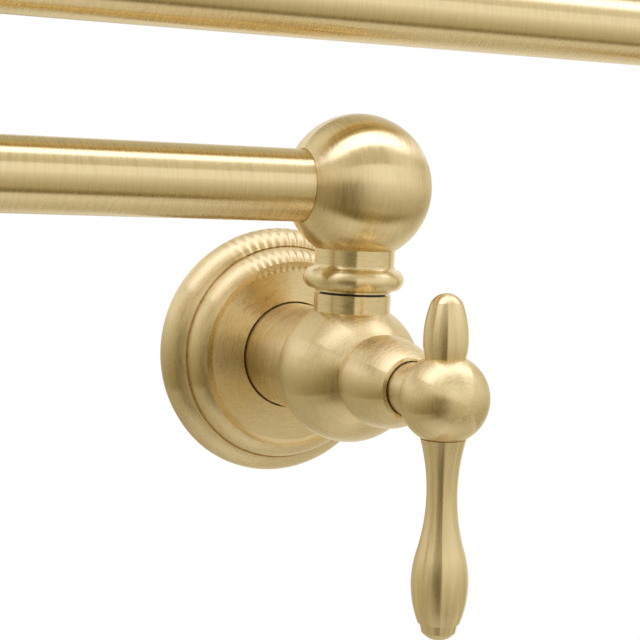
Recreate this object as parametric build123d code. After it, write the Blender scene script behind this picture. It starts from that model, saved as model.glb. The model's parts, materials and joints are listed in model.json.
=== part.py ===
from build123d import *
from math import asin, degrees, sqrt
import os

# Wall mounted pot filler with two folding arms, in millimetres.
# The wall is the plane y = 0, the front is -Y, up is +Z, and x = 0, z = 0 is the inlet's axis.
# At rest both arms lie folded along the wall: the lower one runs to -X, the upper one back to +X.

os.makedirs("parts", exist_ok=True)

# ---------------------------------------------------------------- driving dimensions

# layout
wall_to_swivel = 50.1        # wall to the axis of the wall swivel
lower_arm_length = 240.0     # wall swivel to far swivel
upper_arm_length = 360.0     # far swivel to outlet valve
wall_swivel_rise = 49.0      # wall valve's ball centre up to the lower arm's axis
far_swivel_rise = 47.3       # lower arm's axis up to the upper arm's axis
handle_lean = 2.0            # degrees the wall handle stands off plumb on its spindle

# arm tubes
tube_radius = 9.5
tube_wall = 1.2
tube_seat = 11.0             # ball centre to the end of a tube in its socket
socket_overrun = 0.8         # how far a ball's cross bore runs past its neck bore

# balls
valve_ball_radius = 19.0
elbow_ball_radius = 19.5

# fits, as gaps in radius, and small allowances
turning_fit = 0.05
fixed_fit = 0.03
seal_fit = 0.02
loose_fit = 0.2              # around parts that only lie in a space
end_gap = 0.5                # left at the end of a part that stops elsewhere
edge_break = 0.4             # chamfer on outside edges
cut_overrun = 1.0            # how far a cutting shape runs past the face it cuts

# wall flange: each step forward and inward follows the one before it, from the wall out
flange_rim_radius = 35.3
flange_rim_draft = 0.9       # how far the rim draws in at the wall
flange_rim_height = 3.6      # wall to the rim's widest place
flange_rim_rise = 6.4        # on from there to the groove
flange_rim_run = 4.6         # and inward
flange_groove_depth = 0.45
flange_bead_rise = 5.9       # groove to the crest of the inner bead
flange_bead_run = 3.65
flange_cove_run = 2.0        # crest inward to where the dish starts
flange_dish_drop = 0.9       # crest down to the dish
flange_cove_share = 0.65     # share of that drop made in the cove's outer half
flange_lip_rise = 0.5        # the dish climbs again to the hole
flange_gap = 0.4             # between the hole and the shank
flange_wall = 1.3
flange_sleeve_length = 8.0   # sleeve behind the hole
flange_seal_bed = 0.8        # how deep its seal sits in the sleeve
flange_seal_width = 2.4
gasket_thickness = 0.8
gasket_width = 3.2

# supply adapter, screwed into the pipe fitting in the wall
pipe_thread_radius = 10.65   # half inch pipe thread, over its crests
pipe_thread_length = 16.0
pipe_thread_chamfer = 0.8
pipe_relief_radius = 9.4
pipe_relief_length = 2.0
adapter_shoulder_radius = 13.0
adapter_shoulder_depth = 3.4
adapter_flat = 23.0          # across the wrench flats
adapter_spigot_length = 21.6
adapter_bore_radius = 6.0
adapter_seal_places = (10.0, 5.0)   # back from the spigot's end

# inlet shank, which carries the valve on the supply adapter
shank_radius = 14.75
shank_wall = 3.4
shank_chamber = 2.0          # space in front of the adapter
shank_thread_radius = 10.2
shank_thread_length = 6.0
shank_screw_radius = 2.5
shank_screw_place = 5.0      # back end of the shank to the set screw below
shank_screw_groove = 0.8     # depth of its groove in the adapter

# O-rings and set screws
seal_section = 0.9           # radius of the section in the swivels and the adapter
seal_groove_width = 2.2
seal_squeeze = 0.55          # chamfer of a squeezed ring, as a share of its section's radius
screw_socket_share = 0.5     # hex socket to screw radius
screw_socket_depth = 1.2
screw_point_share = 0.2      # chamfer at the point, as a share of the screw's radius
screw_sink = 0.15            # how far a set screw's socket end lies below the surface

# valve body
body_collar_length = 3.51    # ball's surface back to the face that meets the shank
body_collar_step = 0.15      # collar over shank, in radius
body_collar_fillet = 0.6
neck_radius = 10.25
neck_rise = 1.75             # top of the ball to the face of the neck
neck_thread_radius = 8.0
neck_thread_length = 8.6
neck_bore_radius = 6.5
pocket_radius = 8.1          # cartridge pocket
seat_place = 6.0             # ball centre back to the cartridge's seat
seat_thickness = 3.0
seat_bore_radius = 4.4

# bonnet
bonnet_radius = 12.0
bonnet_lead = 1.2            # front of the ball to the bonnet's widest place
bonnet_length = 13.9         # from there to its face
bonnet_face_radius = 7.95
bonnet_lip_round = 0.3
bonnet_mouth_radius = 7.2
bonnet_mouth_depth = 3.2
bonnet_bore_radius = 6.2
bonnet_bore_cone = 1.5
bonnet_guide_length = 3.6

# quarter turn cartridge, from the seat forward
seat_seal_thickness = 1.5
seat_seal_width = 2.6
disc_radius = 6.4
disc_thickness = 2.3
disc_window_inner = 1.5
disc_window_outer = 5.1
sleeve_wall = 1.5
sleeve_window_width = 8.0
sleeve_window_height = 4.2
sleeve_guide_length = 3.6
sleeve_seal_section = 0.42
sleeve_seal_place = 1.2      # back from the sleeve's front
sleeve_stop_depth = 1.3      # how far the stops reach in from the sleeve's wall
spindle_radius = 4.0
spindle_foot_width = 4.4
spindle_foot_thickness = 1.5
spindle_foot_space = 3.4     # foot to the guide
spindle_seal_section = 0.46
spindle_flat = 3.3           # centre to the drive flats
spindle_drive_length = 13.0
small_groove_slack = 0.1     # each side of the cartridge's small seals
clip_thickness = 0.8
clip_radius = 5.2
clip_groove = 0.7
clip_gap = 0.2               # between the clip and the sleeve
clip_mouth_share = 1.3       # opening of the clip, as a share of its inner radius

# handle
hub_radius = 11.1
hub_flat_cut = 1.35          # depth of the flats under the finial and the lever
hub_spindle_place = 4.4      # ball centre back to the end of the spindle's socket
stem_collar_radius = 6.4
stem_collar_length = 5.1     # bonnet's face to the ball
stud_radius = 2.5
stud_length = 4.0
grub_radius = 1.5
grub_place = 5.7             # from the stem collar's end
grub_angle = -45.0

# finial and lever, in places from the hub's flat
finial_base_radius = 4.95
finial_belly_radius = 5.57
finial_belly_place = 4.25
finial_shoulder_radius = 3.88
finial_shoulder_place = 13.75
finial_dome = 2.25
lever_waist_radius = 3.8
lever_waist_place = 13.55
lever_waist_curve = 50.0
lever_bulb_radius = 7.1
lever_bulb_place = 35.85
lever_foot_place = 45.65
lever_foot_radius = 4.75
lever_toe_place = 48.05
lever_toe_radius = 4.25
lever_toe_dome = 2.1

# swivel: collar on the elbow, hollow post in the ball below
swivel_gap = 0.6             # neck face to the elbow's lower face
washer_thickness = 0.5
washer_radius = 8.7
collar_foot_radius = 10.1
collar_foot_height = 0.45
collar_ring_radius = 13.45
collar_ring_rise = 3.45      # elbow's lower face to the ring's widest place
collar_ring_curve = 2.95
collar_ring_start = 2.5      # how far below its widest place the ring's round starts
collar_cove_curve = 1.4
elbow_neck_radius = 10.65
gland_thread_radius = 9.1
gland_sink = 0.3             # gland inside the elbow's lower face
gland_length = 7.0
gland_hole_radius = 0.5      # for a pin spanner
gland_hole_depth = 2.0
post_radius = 7.5
post_bore_radius = 5.0
post_head_radius = 8.6
post_head_length = 8.4
post_seal_places = (2.6, 5.8)   # up from the head's lower face

# down spout and aerator
spout_end = 84.0             # valve ball centre to the spout's lower face
spout_radius = 9.5
spout_taper_length = 12.0
spout_bore_radius = 7.2
spout_post_bore = 5.5
spout_ring_radius = 12.2
spout_ring_cove = 2.6
spout_cove_share = 0.95      # share of the cove's quarter round that is turned
spout_ring_shoulder = 0.5    # metal between the cove and the aerator's thread
aerator_thread_radius = 10.9
aerator_thread_length = 9.0
aerator_flange_step = 0.3    # spout ring over aerator flange, in radius
aerator_flange_thickness = 1.6
aerator_wall = 1.4
aerator_lip = 1.2            # the ledge that holds the insert
aerator_slot_width = 2.2
aerator_slot_depth = 0.6
aerator_washer_thickness = 1.4
jet_radius = 0.9
jet_circles = ((2.6, 6), (5.6, 12))   # radius of each circle of jets and its count

# ---------------------------------------------------------------- places that follow from them

# wall flange, from the wall forward
flange_groove_radius = flange_rim_radius - flange_rim_run
flange_groove_height = flange_rim_height + flange_rim_rise
flange_bead_foot = flange_groove_radius - flange_groove_depth
flange_bead_radius = flange_bead_foot - flange_bead_run
flange_bead_height = flange_groove_height + flange_bead_rise
flange_cove_radius = flange_bead_radius - flange_cove_run
flange_dish_height = flange_bead_height - flange_dish_drop
flange_lip_height = flange_dish_height + flange_lip_rise
flange_hole_radius = shank_radius + flange_gap
flange_inside = flange_rim_radius - flange_rim_draft - 2 * flange_wall
flange_seal_section = (flange_gap + flange_seal_bed) / 2 - seal_fit
flange_seal_height = flange_lip_height - flange_sleeve_length / 2

# inlet, from the wall forward
shank_bore_radius = shank_radius - shank_wall
spigot_radius = shank_bore_radius - turning_fit
adapter_end = adapter_shoulder_depth + adapter_spigot_length
adapter_groove_floor = shank_bore_radius - 2 * (seal_section + seal_fit)
body_collar_radius = shank_radius + body_collar_step
body_collar_place = sqrt(valve_ball_radius**2 - body_collar_radius**2) + body_collar_length
shank_back = adapter_shoulder_depth + end_gap
shank_front = wall_to_swivel - body_collar_place
shank_screw_height = shank_back + shank_screw_place
screw_groove_floor = spigot_radius - shank_screw_groove

# valve, along its stem from the ball's centre
seat_front = -seat_place
seat_back = seat_front - seat_thickness
sleeve_back = seat_front + seat_seal_thickness
moving_disc_back = sleeve_back + disc_thickness
foot_back = moving_disc_back + disc_thickness
foot_front = foot_back + spindle_foot_thickness
guide_back = foot_front + spindle_foot_space
sleeve_front = guide_back + sleeve_guide_length
bonnet_place = valve_ball_radius + bonnet_lead
bonnet_seam = (bonnet_place**2 + valve_ball_radius**2 - bonnet_radius**2) / (2 * bonnet_place)
bonnet_face = bonnet_place + bonnet_length
mouth_floor = bonnet_face - bonnet_mouth_depth
collar_end = mouth_floor + end_gap
hub_place = bonnet_face + stem_collar_length + hub_radius
spindle_socket = hub_place - hub_spindle_place
drive_start = spindle_socket - spindle_drive_length
clip_back = sleeve_front + clip_gap

# valve, across its stem
sleeve_radius = pocket_radius - fixed_fit
chamber_radius = sleeve_radius - sleeve_wall
guide_radius = spindle_radius + turning_fit
sleeve_seal_height = sleeve_front - sleeve_seal_place
sleeve_seal_floor = pocket_radius - 2 * (sleeve_seal_section + seal_fit)
spindle_seal_height = guide_back + sleeve_guide_length / 2
spindle_seal_floor = guide_radius - 2 * (spindle_seal_section + seal_fit)
hub_flat = hub_radius - hub_flat_cut

# swivel, upward from the lower ball's centre
neck_height = valve_ball_radius + neck_rise
neck_thread_floor = neck_height - neck_thread_length
elbow_foot = neck_height + swivel_gap
collar_ring_place = elbow_foot + collar_ring_rise
gland_back = elbow_foot + gland_sink
gland_front = gland_back + gland_length
post_head_base = gland_front + turning_fit
post_head_top = post_head_base + post_head_length
head_socket_radius = post_head_radius + turning_fit
head_groove_floor = head_socket_radius - 2 * (seal_section + seal_fit)
tube_bore = tube_radius - tube_wall

# down spout, downward from the valve's ball centre
aerator_top = spout_end - aerator_thread_length
aerator_bottom = spout_end + aerator_flange_thickness
spout_thread_start = aerator_top - aerator_washer_thickness
aerator_inside = aerator_thread_radius - aerator_wall

# ---------------------------------------------------------------- shapes


def rod(radius, low, high):
    """Round bar about Z between two heights."""
    return Pos(0, 0, low) * Cylinder(radius, high - low, align=(Align.CENTER, Align.CENTER, Align.MIN))


def ring(outer, inner, low, high):
    """Plain ring about Z between two heights."""
    return rod(outer, low, high) - rod(inner, low, high)


def groove(outer, floor, middle, width):
    """What a groove of the given floor radius takes off a round part."""
    return ring(outer + cut_overrun, floor, middle - width / 2, middle + width / 2)


def seal(section, floor, height):
    """Squeezed O-ring about Z, lying on a groove floor of the given radius."""
    inner = floor + seal_fit
    body = ring(inner + 2 * section, inner, height - section, height + section)
    return chamfer(body.edges().filter_by(GeomType.CIRCLE), section * seal_squeeze)


def arc_radius(run, rise):
    """Radius of the arc that starts along the axis and ends this far in and this far on."""
    return (run**2 + rise**2) / (2 * run)


def slope(offset, curve):
    """Angle in degrees round an arc at which it has gone this far along the axis."""
    return degrees(asin(max(-1.0, min(1.0, offset / curve))))


def swell(widest, height, curve, low, high):
    """Outline arc between two heights, widest at the given height."""
    start = slope(low - height, curve)
    stop = slope(high - height, curve)
    return CenterArc((widest - curve, height), curve, start, stop - start)


def waist(narrowest, height, curve, low, high):
    """Outline arc between two heights, narrowest at the given height."""
    start = 180 - slope(low - height, curve)
    stop = 180 - slope(high - height, curve)
    return CenterArc((narrowest + curve, height), curve, start, stop - start)


def dome(radius, height, rise):
    """Outline arc from a rim at the given radius and height up to the axis."""
    curve = arc_radius(rise, radius)
    start = slope(curve - rise, curve)
    return CenterArc((0, height + rise - curve), curve, start, 90 - start)


def turned(*steps):
    """Solid turned about Z from a closed outline of (radius, height) points and arcs."""
    edges = []
    first = here = None
    for step in steps:
        is_point = isinstance(step, tuple)
        start = Vector(*step) if is_point else step @ 0
        if here is None:
            first = start
        elif (start - here).length > 1e-6:
            edges.append(Line(here, start))
        if not is_point:
            edges.append(step)
        here = start if is_point else step @ 1
    if (first - here).length > 1e-6:
        edges.append(Line(here, first))
    return revolve(Plane.XZ * make_face(edges), Axis.Z)


def along(origin, stem):
    """Place of a part whose Z runs along stem and whose Y is up."""
    stem = Vector(*stem)
    return Plane(origin=origin, x_dir=Vector(0, 0, 1).cross(stem), z_dir=stem).location


def set_screw(radius, length):
    """Headless screw along Z from its socket end at 0 down to -length."""
    socket = RegularPolygon(radius * screw_socket_share, 6)
    body = rod(radius, -length, 0)
    body = chamfer(body.edges().group_by(Axis.Z)[0], radius * screw_point_share)
    return body - extrude(socket, -screw_socket_depth)


def save(name, shape):
    """One node, as one STEP file."""
    export_step(shape, f"parts/{name}.step")


# ---------------------------------------------------------------- wall flange and inlet


def wall_flange():
    """Slip flange: rounded rim, groove, inner bead and a shallow dish round the hole."""
    rim_curve = arc_radius(flange_rim_run, flange_rim_rise)
    bead_curve = arc_radius(flange_bead_run, flange_bead_rise)
    cove = ThreePointArc(
        (flange_bead_radius, flange_bead_height),
        (flange_bead_radius - flange_cove_run / 2, flange_bead_height - flange_dish_drop * flange_cove_share),
        (flange_cove_radius, flange_dish_height),
    )
    sleeve_back_height = flange_lip_height - flange_sleeve_length
    sleeve_outside = flange_hole_radius + 2 * flange_wall
    body = turned(
        (flange_inside, 0),
        (flange_rim_radius - flange_rim_draft, 0),
        swell(flange_rim_radius, flange_rim_height, rim_curve, flange_rim_height, flange_groove_height),
        (flange_groove_radius - flange_groove_depth / 2, flange_groove_height - flange_groove_depth),
        swell(flange_bead_foot, flange_groove_height, bead_curve, flange_groove_height, flange_bead_height),
        cove,
        (flange_hole_radius, flange_lip_height),
        (flange_hole_radius, sleeve_back_height),
        (sleeve_outside, sleeve_back_height),
        (sleeve_outside, flange_dish_height - flange_wall),
        (flange_bead_radius - flange_wall, flange_dish_height - flange_wall),
        (flange_bead_foot - 2 * flange_wall, flange_groove_height - flange_wall),
        (flange_inside, flange_rim_height),
    )
    bed_radius = flange_hole_radius + flange_seal_bed
    low = flange_seal_height - flange_seal_width / 2
    return body - ring(bed_radius, flange_hole_radius - cut_overrun, low, low + flange_seal_width)


def wall_gasket():
    """Flat gasket inside the flange's rim, against the wall."""
    outer = flange_inside - loose_fit
    return ring(outer, outer - gasket_width, 0, gasket_thickness)


def supply_adapter():
    """Turned adapter: pipe thread behind the wall, shoulder at the wall, grooved spigot in front."""
    back = -pipe_relief_length - pipe_thread_length
    body = rod(pipe_thread_radius, back, -pipe_relief_length)
    body = chamfer(body.edges().group_by(Axis.Z)[0], pipe_thread_chamfer)
    body += rod(pipe_relief_radius, -pipe_relief_length, 0)
    hexagon = extrude(RegularPolygon(adapter_flat / 2, 6, major_radius=False), adapter_shoulder_depth)
    body += rod(adapter_shoulder_radius, 0, adapter_shoulder_depth) & hexagon
    body += rod(spigot_radius, adapter_shoulder_depth, adapter_end)
    for place in adapter_seal_places:
        body -= groove(spigot_radius, adapter_groove_floor, adapter_end - place, seal_groove_width)
    screw_groove_width = 2 * (shank_screw_radius + fixed_fit)
    body -= groove(spigot_radius, screw_groove_floor, shank_screw_height, screw_groove_width)
    return body - rod(adapter_bore_radius, back, adapter_end)


def inlet_shank():
    """Sleeve between the wall and the valve, with a threaded spigot into the valve body."""
    body = rod(shank_radius, shank_back, shank_front)
    body = chamfer(body.edges().group_by(Axis.Z)[0], edge_break)
    body += rod(shank_thread_radius, shank_front, shank_front + shank_thread_length)
    body -= rod(shank_bore_radius, shank_back, adapter_end + shank_chamber)
    body -= rod(adapter_bore_radius, adapter_end + shank_chamber, shank_front + shank_thread_length)
    screw_hole = rod(shank_screw_radius + fixed_fit, screw_groove_floor, shank_radius + cut_overrun)
    return body - Pos(0, 0, shank_screw_height) * Rot(90, 0, 0) * screw_hole


def shank_set_screw():
    """Set screw under the shank, with its point in the adapter's groove."""
    point = screw_groove_floor + fixed_fit
    socket_end = shank_radius - screw_sink
    screw = Pos(0, 0, socket_end) * set_screw(shank_screw_radius, socket_end - point)
    return Pos(0, 0, shank_screw_height) * Rot(90, 0, 0) * screw


# ---------------------------------------------------------------- valve


def valve_body(back):
    """Ball with a neck along Y and the cartridge pocket along Z. Behind, it takes a shank or a tube."""
    upward = Rot(-90, 0, 0)
    body = Sphere(valve_ball_radius)
    if back == "shank":
        body += rod(body_collar_radius, -body_collar_place, 0)
        seam = body.edges().filter_by(GeomType.CIRCLE)
        seam = seam.filter_by(lambda edge: abs(edge.radius - body_collar_radius) < 0.01)
        body = fillet(seam.sort_by(Axis.Z)[-1], body_collar_fillet)
        body += upward * rod(neck_radius, 0, neck_height)
        thread_end = shank_thread_length - body_collar_place
        body -= rod(valve_ball_radius, -valve_ball_radius - cut_overrun, -body_collar_place)
        body -= rod(shank_thread_radius + fixed_fit, -body_collar_place, thread_end)
        body -= rod(adapter_bore_radius, -body_collar_place, seat_back)
    else:
        body += upward * rod(neck_radius, 0, neck_height)
        body -= rod(tube_radius + fixed_fit, -valve_ball_radius, -tube_seat)
        body -= rod(tube_bore, -valve_ball_radius, seat_back)
    body -= rod(valve_ball_radius, bonnet_seam, valve_ball_radius + cut_overrun)
    body -= rod(seat_bore_radius, seat_back - cut_overrun, seat_front + cut_overrun)
    body -= rod(pocket_radius, seat_front, valve_ball_radius)
    body -= upward * rod(neck_bore_radius, 0, neck_height)
    return body - upward * rod(neck_thread_radius + fixed_fit, neck_thread_floor, neck_height)


def bonnet():
    """Acorn shaped bonnet with its thread behind, the spindle guide and the mouth for the stem."""
    spigot = pocket_radius - fixed_fit
    seam_radius = sqrt(valve_ball_radius**2 - bonnet_seam**2)
    front_curve = arc_radius(bonnet_radius - bonnet_face_radius, bonnet_length)
    lip = bonnet_face - bonnet_lip_round
    guide_start = mouth_floor - bonnet_guide_length
    return turned(
        (bonnet_bore_radius, sleeve_front),
        (spigot, sleeve_front),
        (spigot, bonnet_seam),
        (seam_radius, bonnet_seam),
        swell(bonnet_radius, bonnet_place, bonnet_radius, bonnet_seam, bonnet_place),
        swell(bonnet_radius, bonnet_place, front_curve, bonnet_place, lip),
        (bonnet_face_radius - bonnet_lip_round, bonnet_face),
        (bonnet_mouth_radius, bonnet_face),
        (bonnet_mouth_radius, mouth_floor),
        (guide_radius, mouth_floor),
        (guide_radius, guide_start),
        (bonnet_bore_radius, guide_start - bonnet_bore_cone),
    )


def cartridge_sleeve():
    """Cartridge case: disc chamber, side windows, two stops for the spindle's foot, and its guide."""
    body = rod(sleeve_radius, sleeve_back, sleeve_front)
    body -= rod(chamber_radius, sleeve_back, guide_back)
    body -= rod(guide_radius, guide_back, sleeve_front)
    window = Box(sleeve_window_width, 4 * sleeve_radius, sleeve_window_height)
    body -= Pos(0, 0, foot_back + sleeve_window_height / 2) * window
    stop = ring(sleeve_radius, chamber_radius - sleeve_stop_depth, foot_back, foot_front)
    corner = spindle_foot_width / 2 + turning_fit
    reach = 2 * sleeve_radius
    for turn in (90, 270):
        quarter = Box(reach, reach, reach, align=(Align.MIN, Align.MIN, Align.CENTER))
        body += stop & (Rot(0, 0, turn) * Pos(corner, corner, foot_back) * quarter)
    width = 2 * (sleeve_seal_section + small_groove_slack)
    return body - groove(sleeve_radius, sleeve_seal_floor, sleeve_seal_height, width)


def disc(back, turn):
    """Ceramic disc with two quarter windows."""
    front = back + disc_thickness
    sector = ring(disc_window_outer, disc_window_inner, back - cut_overrun, front + cut_overrun)
    reach = disc_window_outer * 2
    wedge = Rot(0, 0, 45) * Box(reach, reach, reach, align=(Align.MIN, Align.MIN, Align.CENTER))
    wedge = Pos(0, 0, back) * wedge
    windows = (sector & wedge) + (sector & (Rot(0, 0, 180) * wedge))
    return rod(disc_radius, back, front) - Rot(0, 0, turn) * windows


def seat_seal():
    """Rubber ring between the seat and the cartridge."""
    outer = pocket_radius - loose_fit
    return ring(outer, outer - seat_seal_width, seat_front, sleeve_back)


def spindle():
    """Spindle: bar foot on the moving disc, O-ring and clip grooves, drive flats."""
    foot = rod(chamber_radius - loose_fit, foot_back, foot_front)
    foot &= Box(spindle_foot_width, 4 * disc_radius, 4 * disc_radius)
    body = foot + rod(spindle_radius, foot_front, spindle_socket - end_gap)
    width = 2 * (spindle_seal_section + small_groove_slack)
    body -= groove(spindle_radius, spindle_seal_floor, spindle_seal_height, width)
    clip_middle = clip_back + clip_thickness / 2
    body -= groove(spindle_radius, spindle_radius - clip_groove, clip_middle, clip_thickness)
    flats = Box(2 * spindle_flat, 4 * spindle_radius, 4 * hub_place)
    return body - (ring(2 * spindle_radius, 0.001, drive_start, spindle_socket) - flats)


def spindle_clip():
    """Open retaining clip in the spindle's groove."""
    inner = spindle_radius - clip_groove + fixed_fit
    body = ring(clip_radius, inner, clip_back, clip_back + clip_thickness)
    mouth = Box(inner * clip_mouth_share, 2 * clip_radius, 4, align=(Align.CENTER, Align.MIN, Align.CENTER))
    return body - Pos(0, 0, clip_back) * mouth


# ---------------------------------------------------------------- handle


def handle_hub(lean):
    """Ball on a stem collar, flat above and below for the finial and the lever."""
    ball_place = Pos(0, 0, hub_place)
    body = ball_place * Sphere(hub_radius) + rod(stem_collar_radius, collar_end, hub_place)
    wide = 4 * hub_radius
    above_flat = Box(wide, hub_radius, wide, align=(Align.CENTER, Align.MIN, Align.CENTER))
    tapped = Rot(-90, 0, 0) * rod(stud_radius + fixed_fit, hub_flat - stud_length - loose_fit, hub_flat)
    for turn in (0, 180):
        body -= ball_place * Rot(0, 0, turn) * Pos(0, hub_flat, 0) * above_flat
        body -= ball_place * Rot(0, 0, turn) * tapped
    flats = Box(2 * (spindle_flat + fixed_fit), 4 * spindle_radius, 4 * hub_place)
    socket = rod(spindle_radius + fixed_fit, collar_end, spindle_socket) & flats
    socket += rod(spindle_radius + fixed_fit, collar_end, max(drive_start, collar_end + loose_fit))
    body -= Rot(0, 0, -lean) * socket
    hole = Rot(0, 90, 0) * rod(grub_radius + fixed_fit, 0, stem_collar_radius + cut_overrun)
    return body - Pos(0, 0, collar_end + grub_place) * Rot(0, 0, grub_angle) * hole


def grub_screw():
    """Grub screw through the stem collar onto the spindle."""
    socket_end = stem_collar_radius - screw_sink
    length = socket_end - spindle_radius - turning_fit
    screw = Rot(0, 90, 0) * Pos(0, 0, socket_end) * set_screw(grub_radius, length)
    return Pos(0, 0, collar_end + grub_place) * Rot(0, 0, grub_angle) * screw


def finial():
    """Turned finial on its stud: a soft barrel, a crisp shoulder and a low dome."""
    rise = finial_shoulder_place - finial_belly_place
    low_curve = arc_radius(finial_belly_radius - finial_base_radius, finial_belly_place)
    high_curve = arc_radius(finial_belly_radius - finial_shoulder_radius, rise)
    return turned(
        (0, -stud_length),
        (stud_radius, -stud_length),
        (stud_radius, 0),
        (finial_base_radius, 0),
        swell(finial_belly_radius, finial_belly_place, low_curve, 0, finial_belly_place),
        swell(finial_belly_radius, finial_belly_place, high_curve, finial_belly_place, finial_shoulder_place),
        dome(finial_shoulder_radius, finial_shoulder_place, finial_dome),
    )


def lever():
    """Turned lever on its stud: hollow curve to the waist, then a long bulb, a foot and a toe."""
    # the bulb's round is tangent to the waist's hollow
    run = lever_bulb_place - lever_waist_place
    bulb_curve = arc_radius(lever_bulb_radius - lever_waist_radius, run) - lever_waist_curve
    meet = lever_waist_place + run * lever_waist_curve / (lever_waist_curve + bulb_curve)
    return turned(
        (0, -stud_length),
        (stud_radius, -stud_length),
        (stud_radius, 0),
        waist(lever_waist_radius, lever_waist_place, lever_waist_curve, 0, meet),
        swell(lever_bulb_radius, lever_bulb_place, bulb_curve, meet, lever_foot_place),
        (lever_foot_radius, lever_foot_place),
        (lever_toe_radius, lever_toe_place),
        dome(lever_toe_radius, lever_toe_place, lever_toe_dome),
    )


def save_valve(prefix, place, body, lean):
    """All the pieces of one valve: body, bonnet, cartridge and handle."""
    turn = place * Rot(0, 0, lean)
    on_ball = turn * Pos(0, 0, hub_place)
    save(f"{prefix}_valve_body", place * body)
    save(f"{prefix}_bonnet", place * bonnet())
    save(f"{prefix}_cartridge_sleeve", place * cartridge_sleeve())
    sleeve_seal = seal(sleeve_seal_section, sleeve_seal_floor, sleeve_seal_height)
    save(f"{prefix}_cartridge_seal", place * sleeve_seal)
    save(f"{prefix}_seat_seal", place * seat_seal())
    save(f"{prefix}_fixed_disc", place * disc(sleeve_back, 0))
    save(f"{prefix}_moving_disc", place * disc(moving_disc_back, 90))
    save(f"{prefix}_spindle", place * spindle())
    spindle_seal = seal(spindle_seal_section, spindle_seal_floor, spindle_seal_height)
    save(f"{prefix}_spindle_seal", place * spindle_seal)
    save(f"{prefix}_spindle_clip", place * spindle_clip())
    save(f"{prefix}_handle_hub", turn * handle_hub(lean))
    save(f"{prefix}_handle_grub_screw", turn * grub_screw())
    save(f"{prefix}_finial", on_ball * Rot(-90, 0, 0) * Pos(0, 0, hub_flat) * finial())
    save(f"{prefix}_lever", on_ball * Rot(90, 0, 0) * Pos(0, 0, hub_flat) * lever())


# ---------------------------------------------------------------- swivels and arms


def tube_socket(side):
    """What a ball loses to take a tube along X on the given side."""
    socket = rod(tube_radius + fixed_fit, tube_seat, 2 * tube_seat)
    socket += rod(tube_bore, -neck_bore_radius - socket_overrun, tube_seat)
    return Rot(0, 90 * side, 0) * socket


def collar_outline():
    """Outline over the collar ring up to the neck above it."""
    centre = collar_ring_radius - collar_ring_curve
    cove_radius = elbow_neck_radius + collar_cove_curve
    ring_low = collar_ring_place - collar_ring_start
    ring_top = collar_ring_place + sqrt(collar_ring_curve**2 - (cove_radius - centre) ** 2)
    return (
        swell(collar_ring_radius, collar_ring_place, collar_ring_curve, ring_low, ring_top),
        CenterArc((cove_radius, ring_top + collar_cove_curve), collar_cove_curve, 270, -90),
    )


def elbow(rise, side):
    """Ball with a neck and collar below and a tube socket on one side."""
    join = rise - sqrt(elbow_ball_radius**2 - elbow_neck_radius**2)
    body = turned(
        (0, elbow_foot),
        (collar_foot_radius, elbow_foot),
        (collar_foot_radius, elbow_foot + collar_foot_height),
        *collar_outline(),
        swell(elbow_ball_radius, rise, elbow_ball_radius, join, rise + elbow_ball_radius),
    )
    body -= rod(gland_thread_radius + fixed_fit, elbow_foot, gland_front)
    body -= rod(head_socket_radius, gland_front, post_head_top + end_gap)
    body -= rod(neck_bore_radius, post_head_top, rise)
    return body - Pos(0, 0, rise) * tube_socket(side)


def swivel_post():
    """Hollow post, threaded below, with two seal grooves in its head."""
    body = rod(neck_thread_radius, neck_thread_floor, neck_height)
    body += rod(post_radius, neck_height, post_head_base)
    body += rod(post_head_radius, post_head_base, post_head_top)
    for place in post_seal_places:
        body -= groove(post_head_radius, head_groove_floor, post_head_base + place, seal_groove_width)
    return body - rod(post_bore_radius, neck_thread_floor, post_head_top)


def gland():
    """Threaded bush that holds the post's head in the elbow, with two spanner holes."""
    inner = post_radius + turning_fit
    body = ring(gland_thread_radius, inner, gland_back, gland_front)
    middle = (gland_thread_radius + inner) / 2
    hole = rod(gland_hole_radius, gland_back, gland_back + gland_hole_depth)
    return body - Pos(middle, 0, 0) * hole - Pos(-middle, 0, 0) * hole


def swivel_washer():
    """Low friction washer between the neck and the elbow."""
    return ring(washer_radius, post_radius + turning_fit, neck_height, neck_height + washer_thickness)


def far_ball():
    """Plain ball at the lower arm's far end: tube socket towards the wall swivel, neck above."""
    body = Sphere(valve_ball_radius) + rod(neck_radius, 0, neck_height)
    body -= rod(neck_bore_radius, 0, neck_height)
    body -= rod(neck_thread_radius + fixed_fit, neck_thread_floor, neck_height)
    return body - tube_socket(1)


def arm_tube(start, end):
    """Tube along X between two places."""
    return Rot(0, 90, 0) * ring(tube_radius, tube_bore, start, end)


def save_seals(name, place, floor, heights):
    """A group of equal O-rings, one for each height."""
    rings = [place * seal(seal_section, floor, height) for height in heights]
    save(name, Compound(children=rings))


def save_swivel(prefix, place, rise, side):
    """The elbow that turns on a ball's neck, and what holds and seals it."""
    seal_heights = [post_head_base + seal_place for seal_place in post_seal_places]
    save(f"{prefix}_elbow", place * elbow(rise, side))
    save(f"{prefix}_swivel_post", place * swivel_post())
    save_seals(f"{prefix}_swivel_seals", place, head_groove_floor, seal_heights)
    save(f"{prefix}_swivel_gland", place * gland())
    save(f"{prefix}_swivel_washer", place * swivel_washer())


# ---------------------------------------------------------------- down spout


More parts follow.
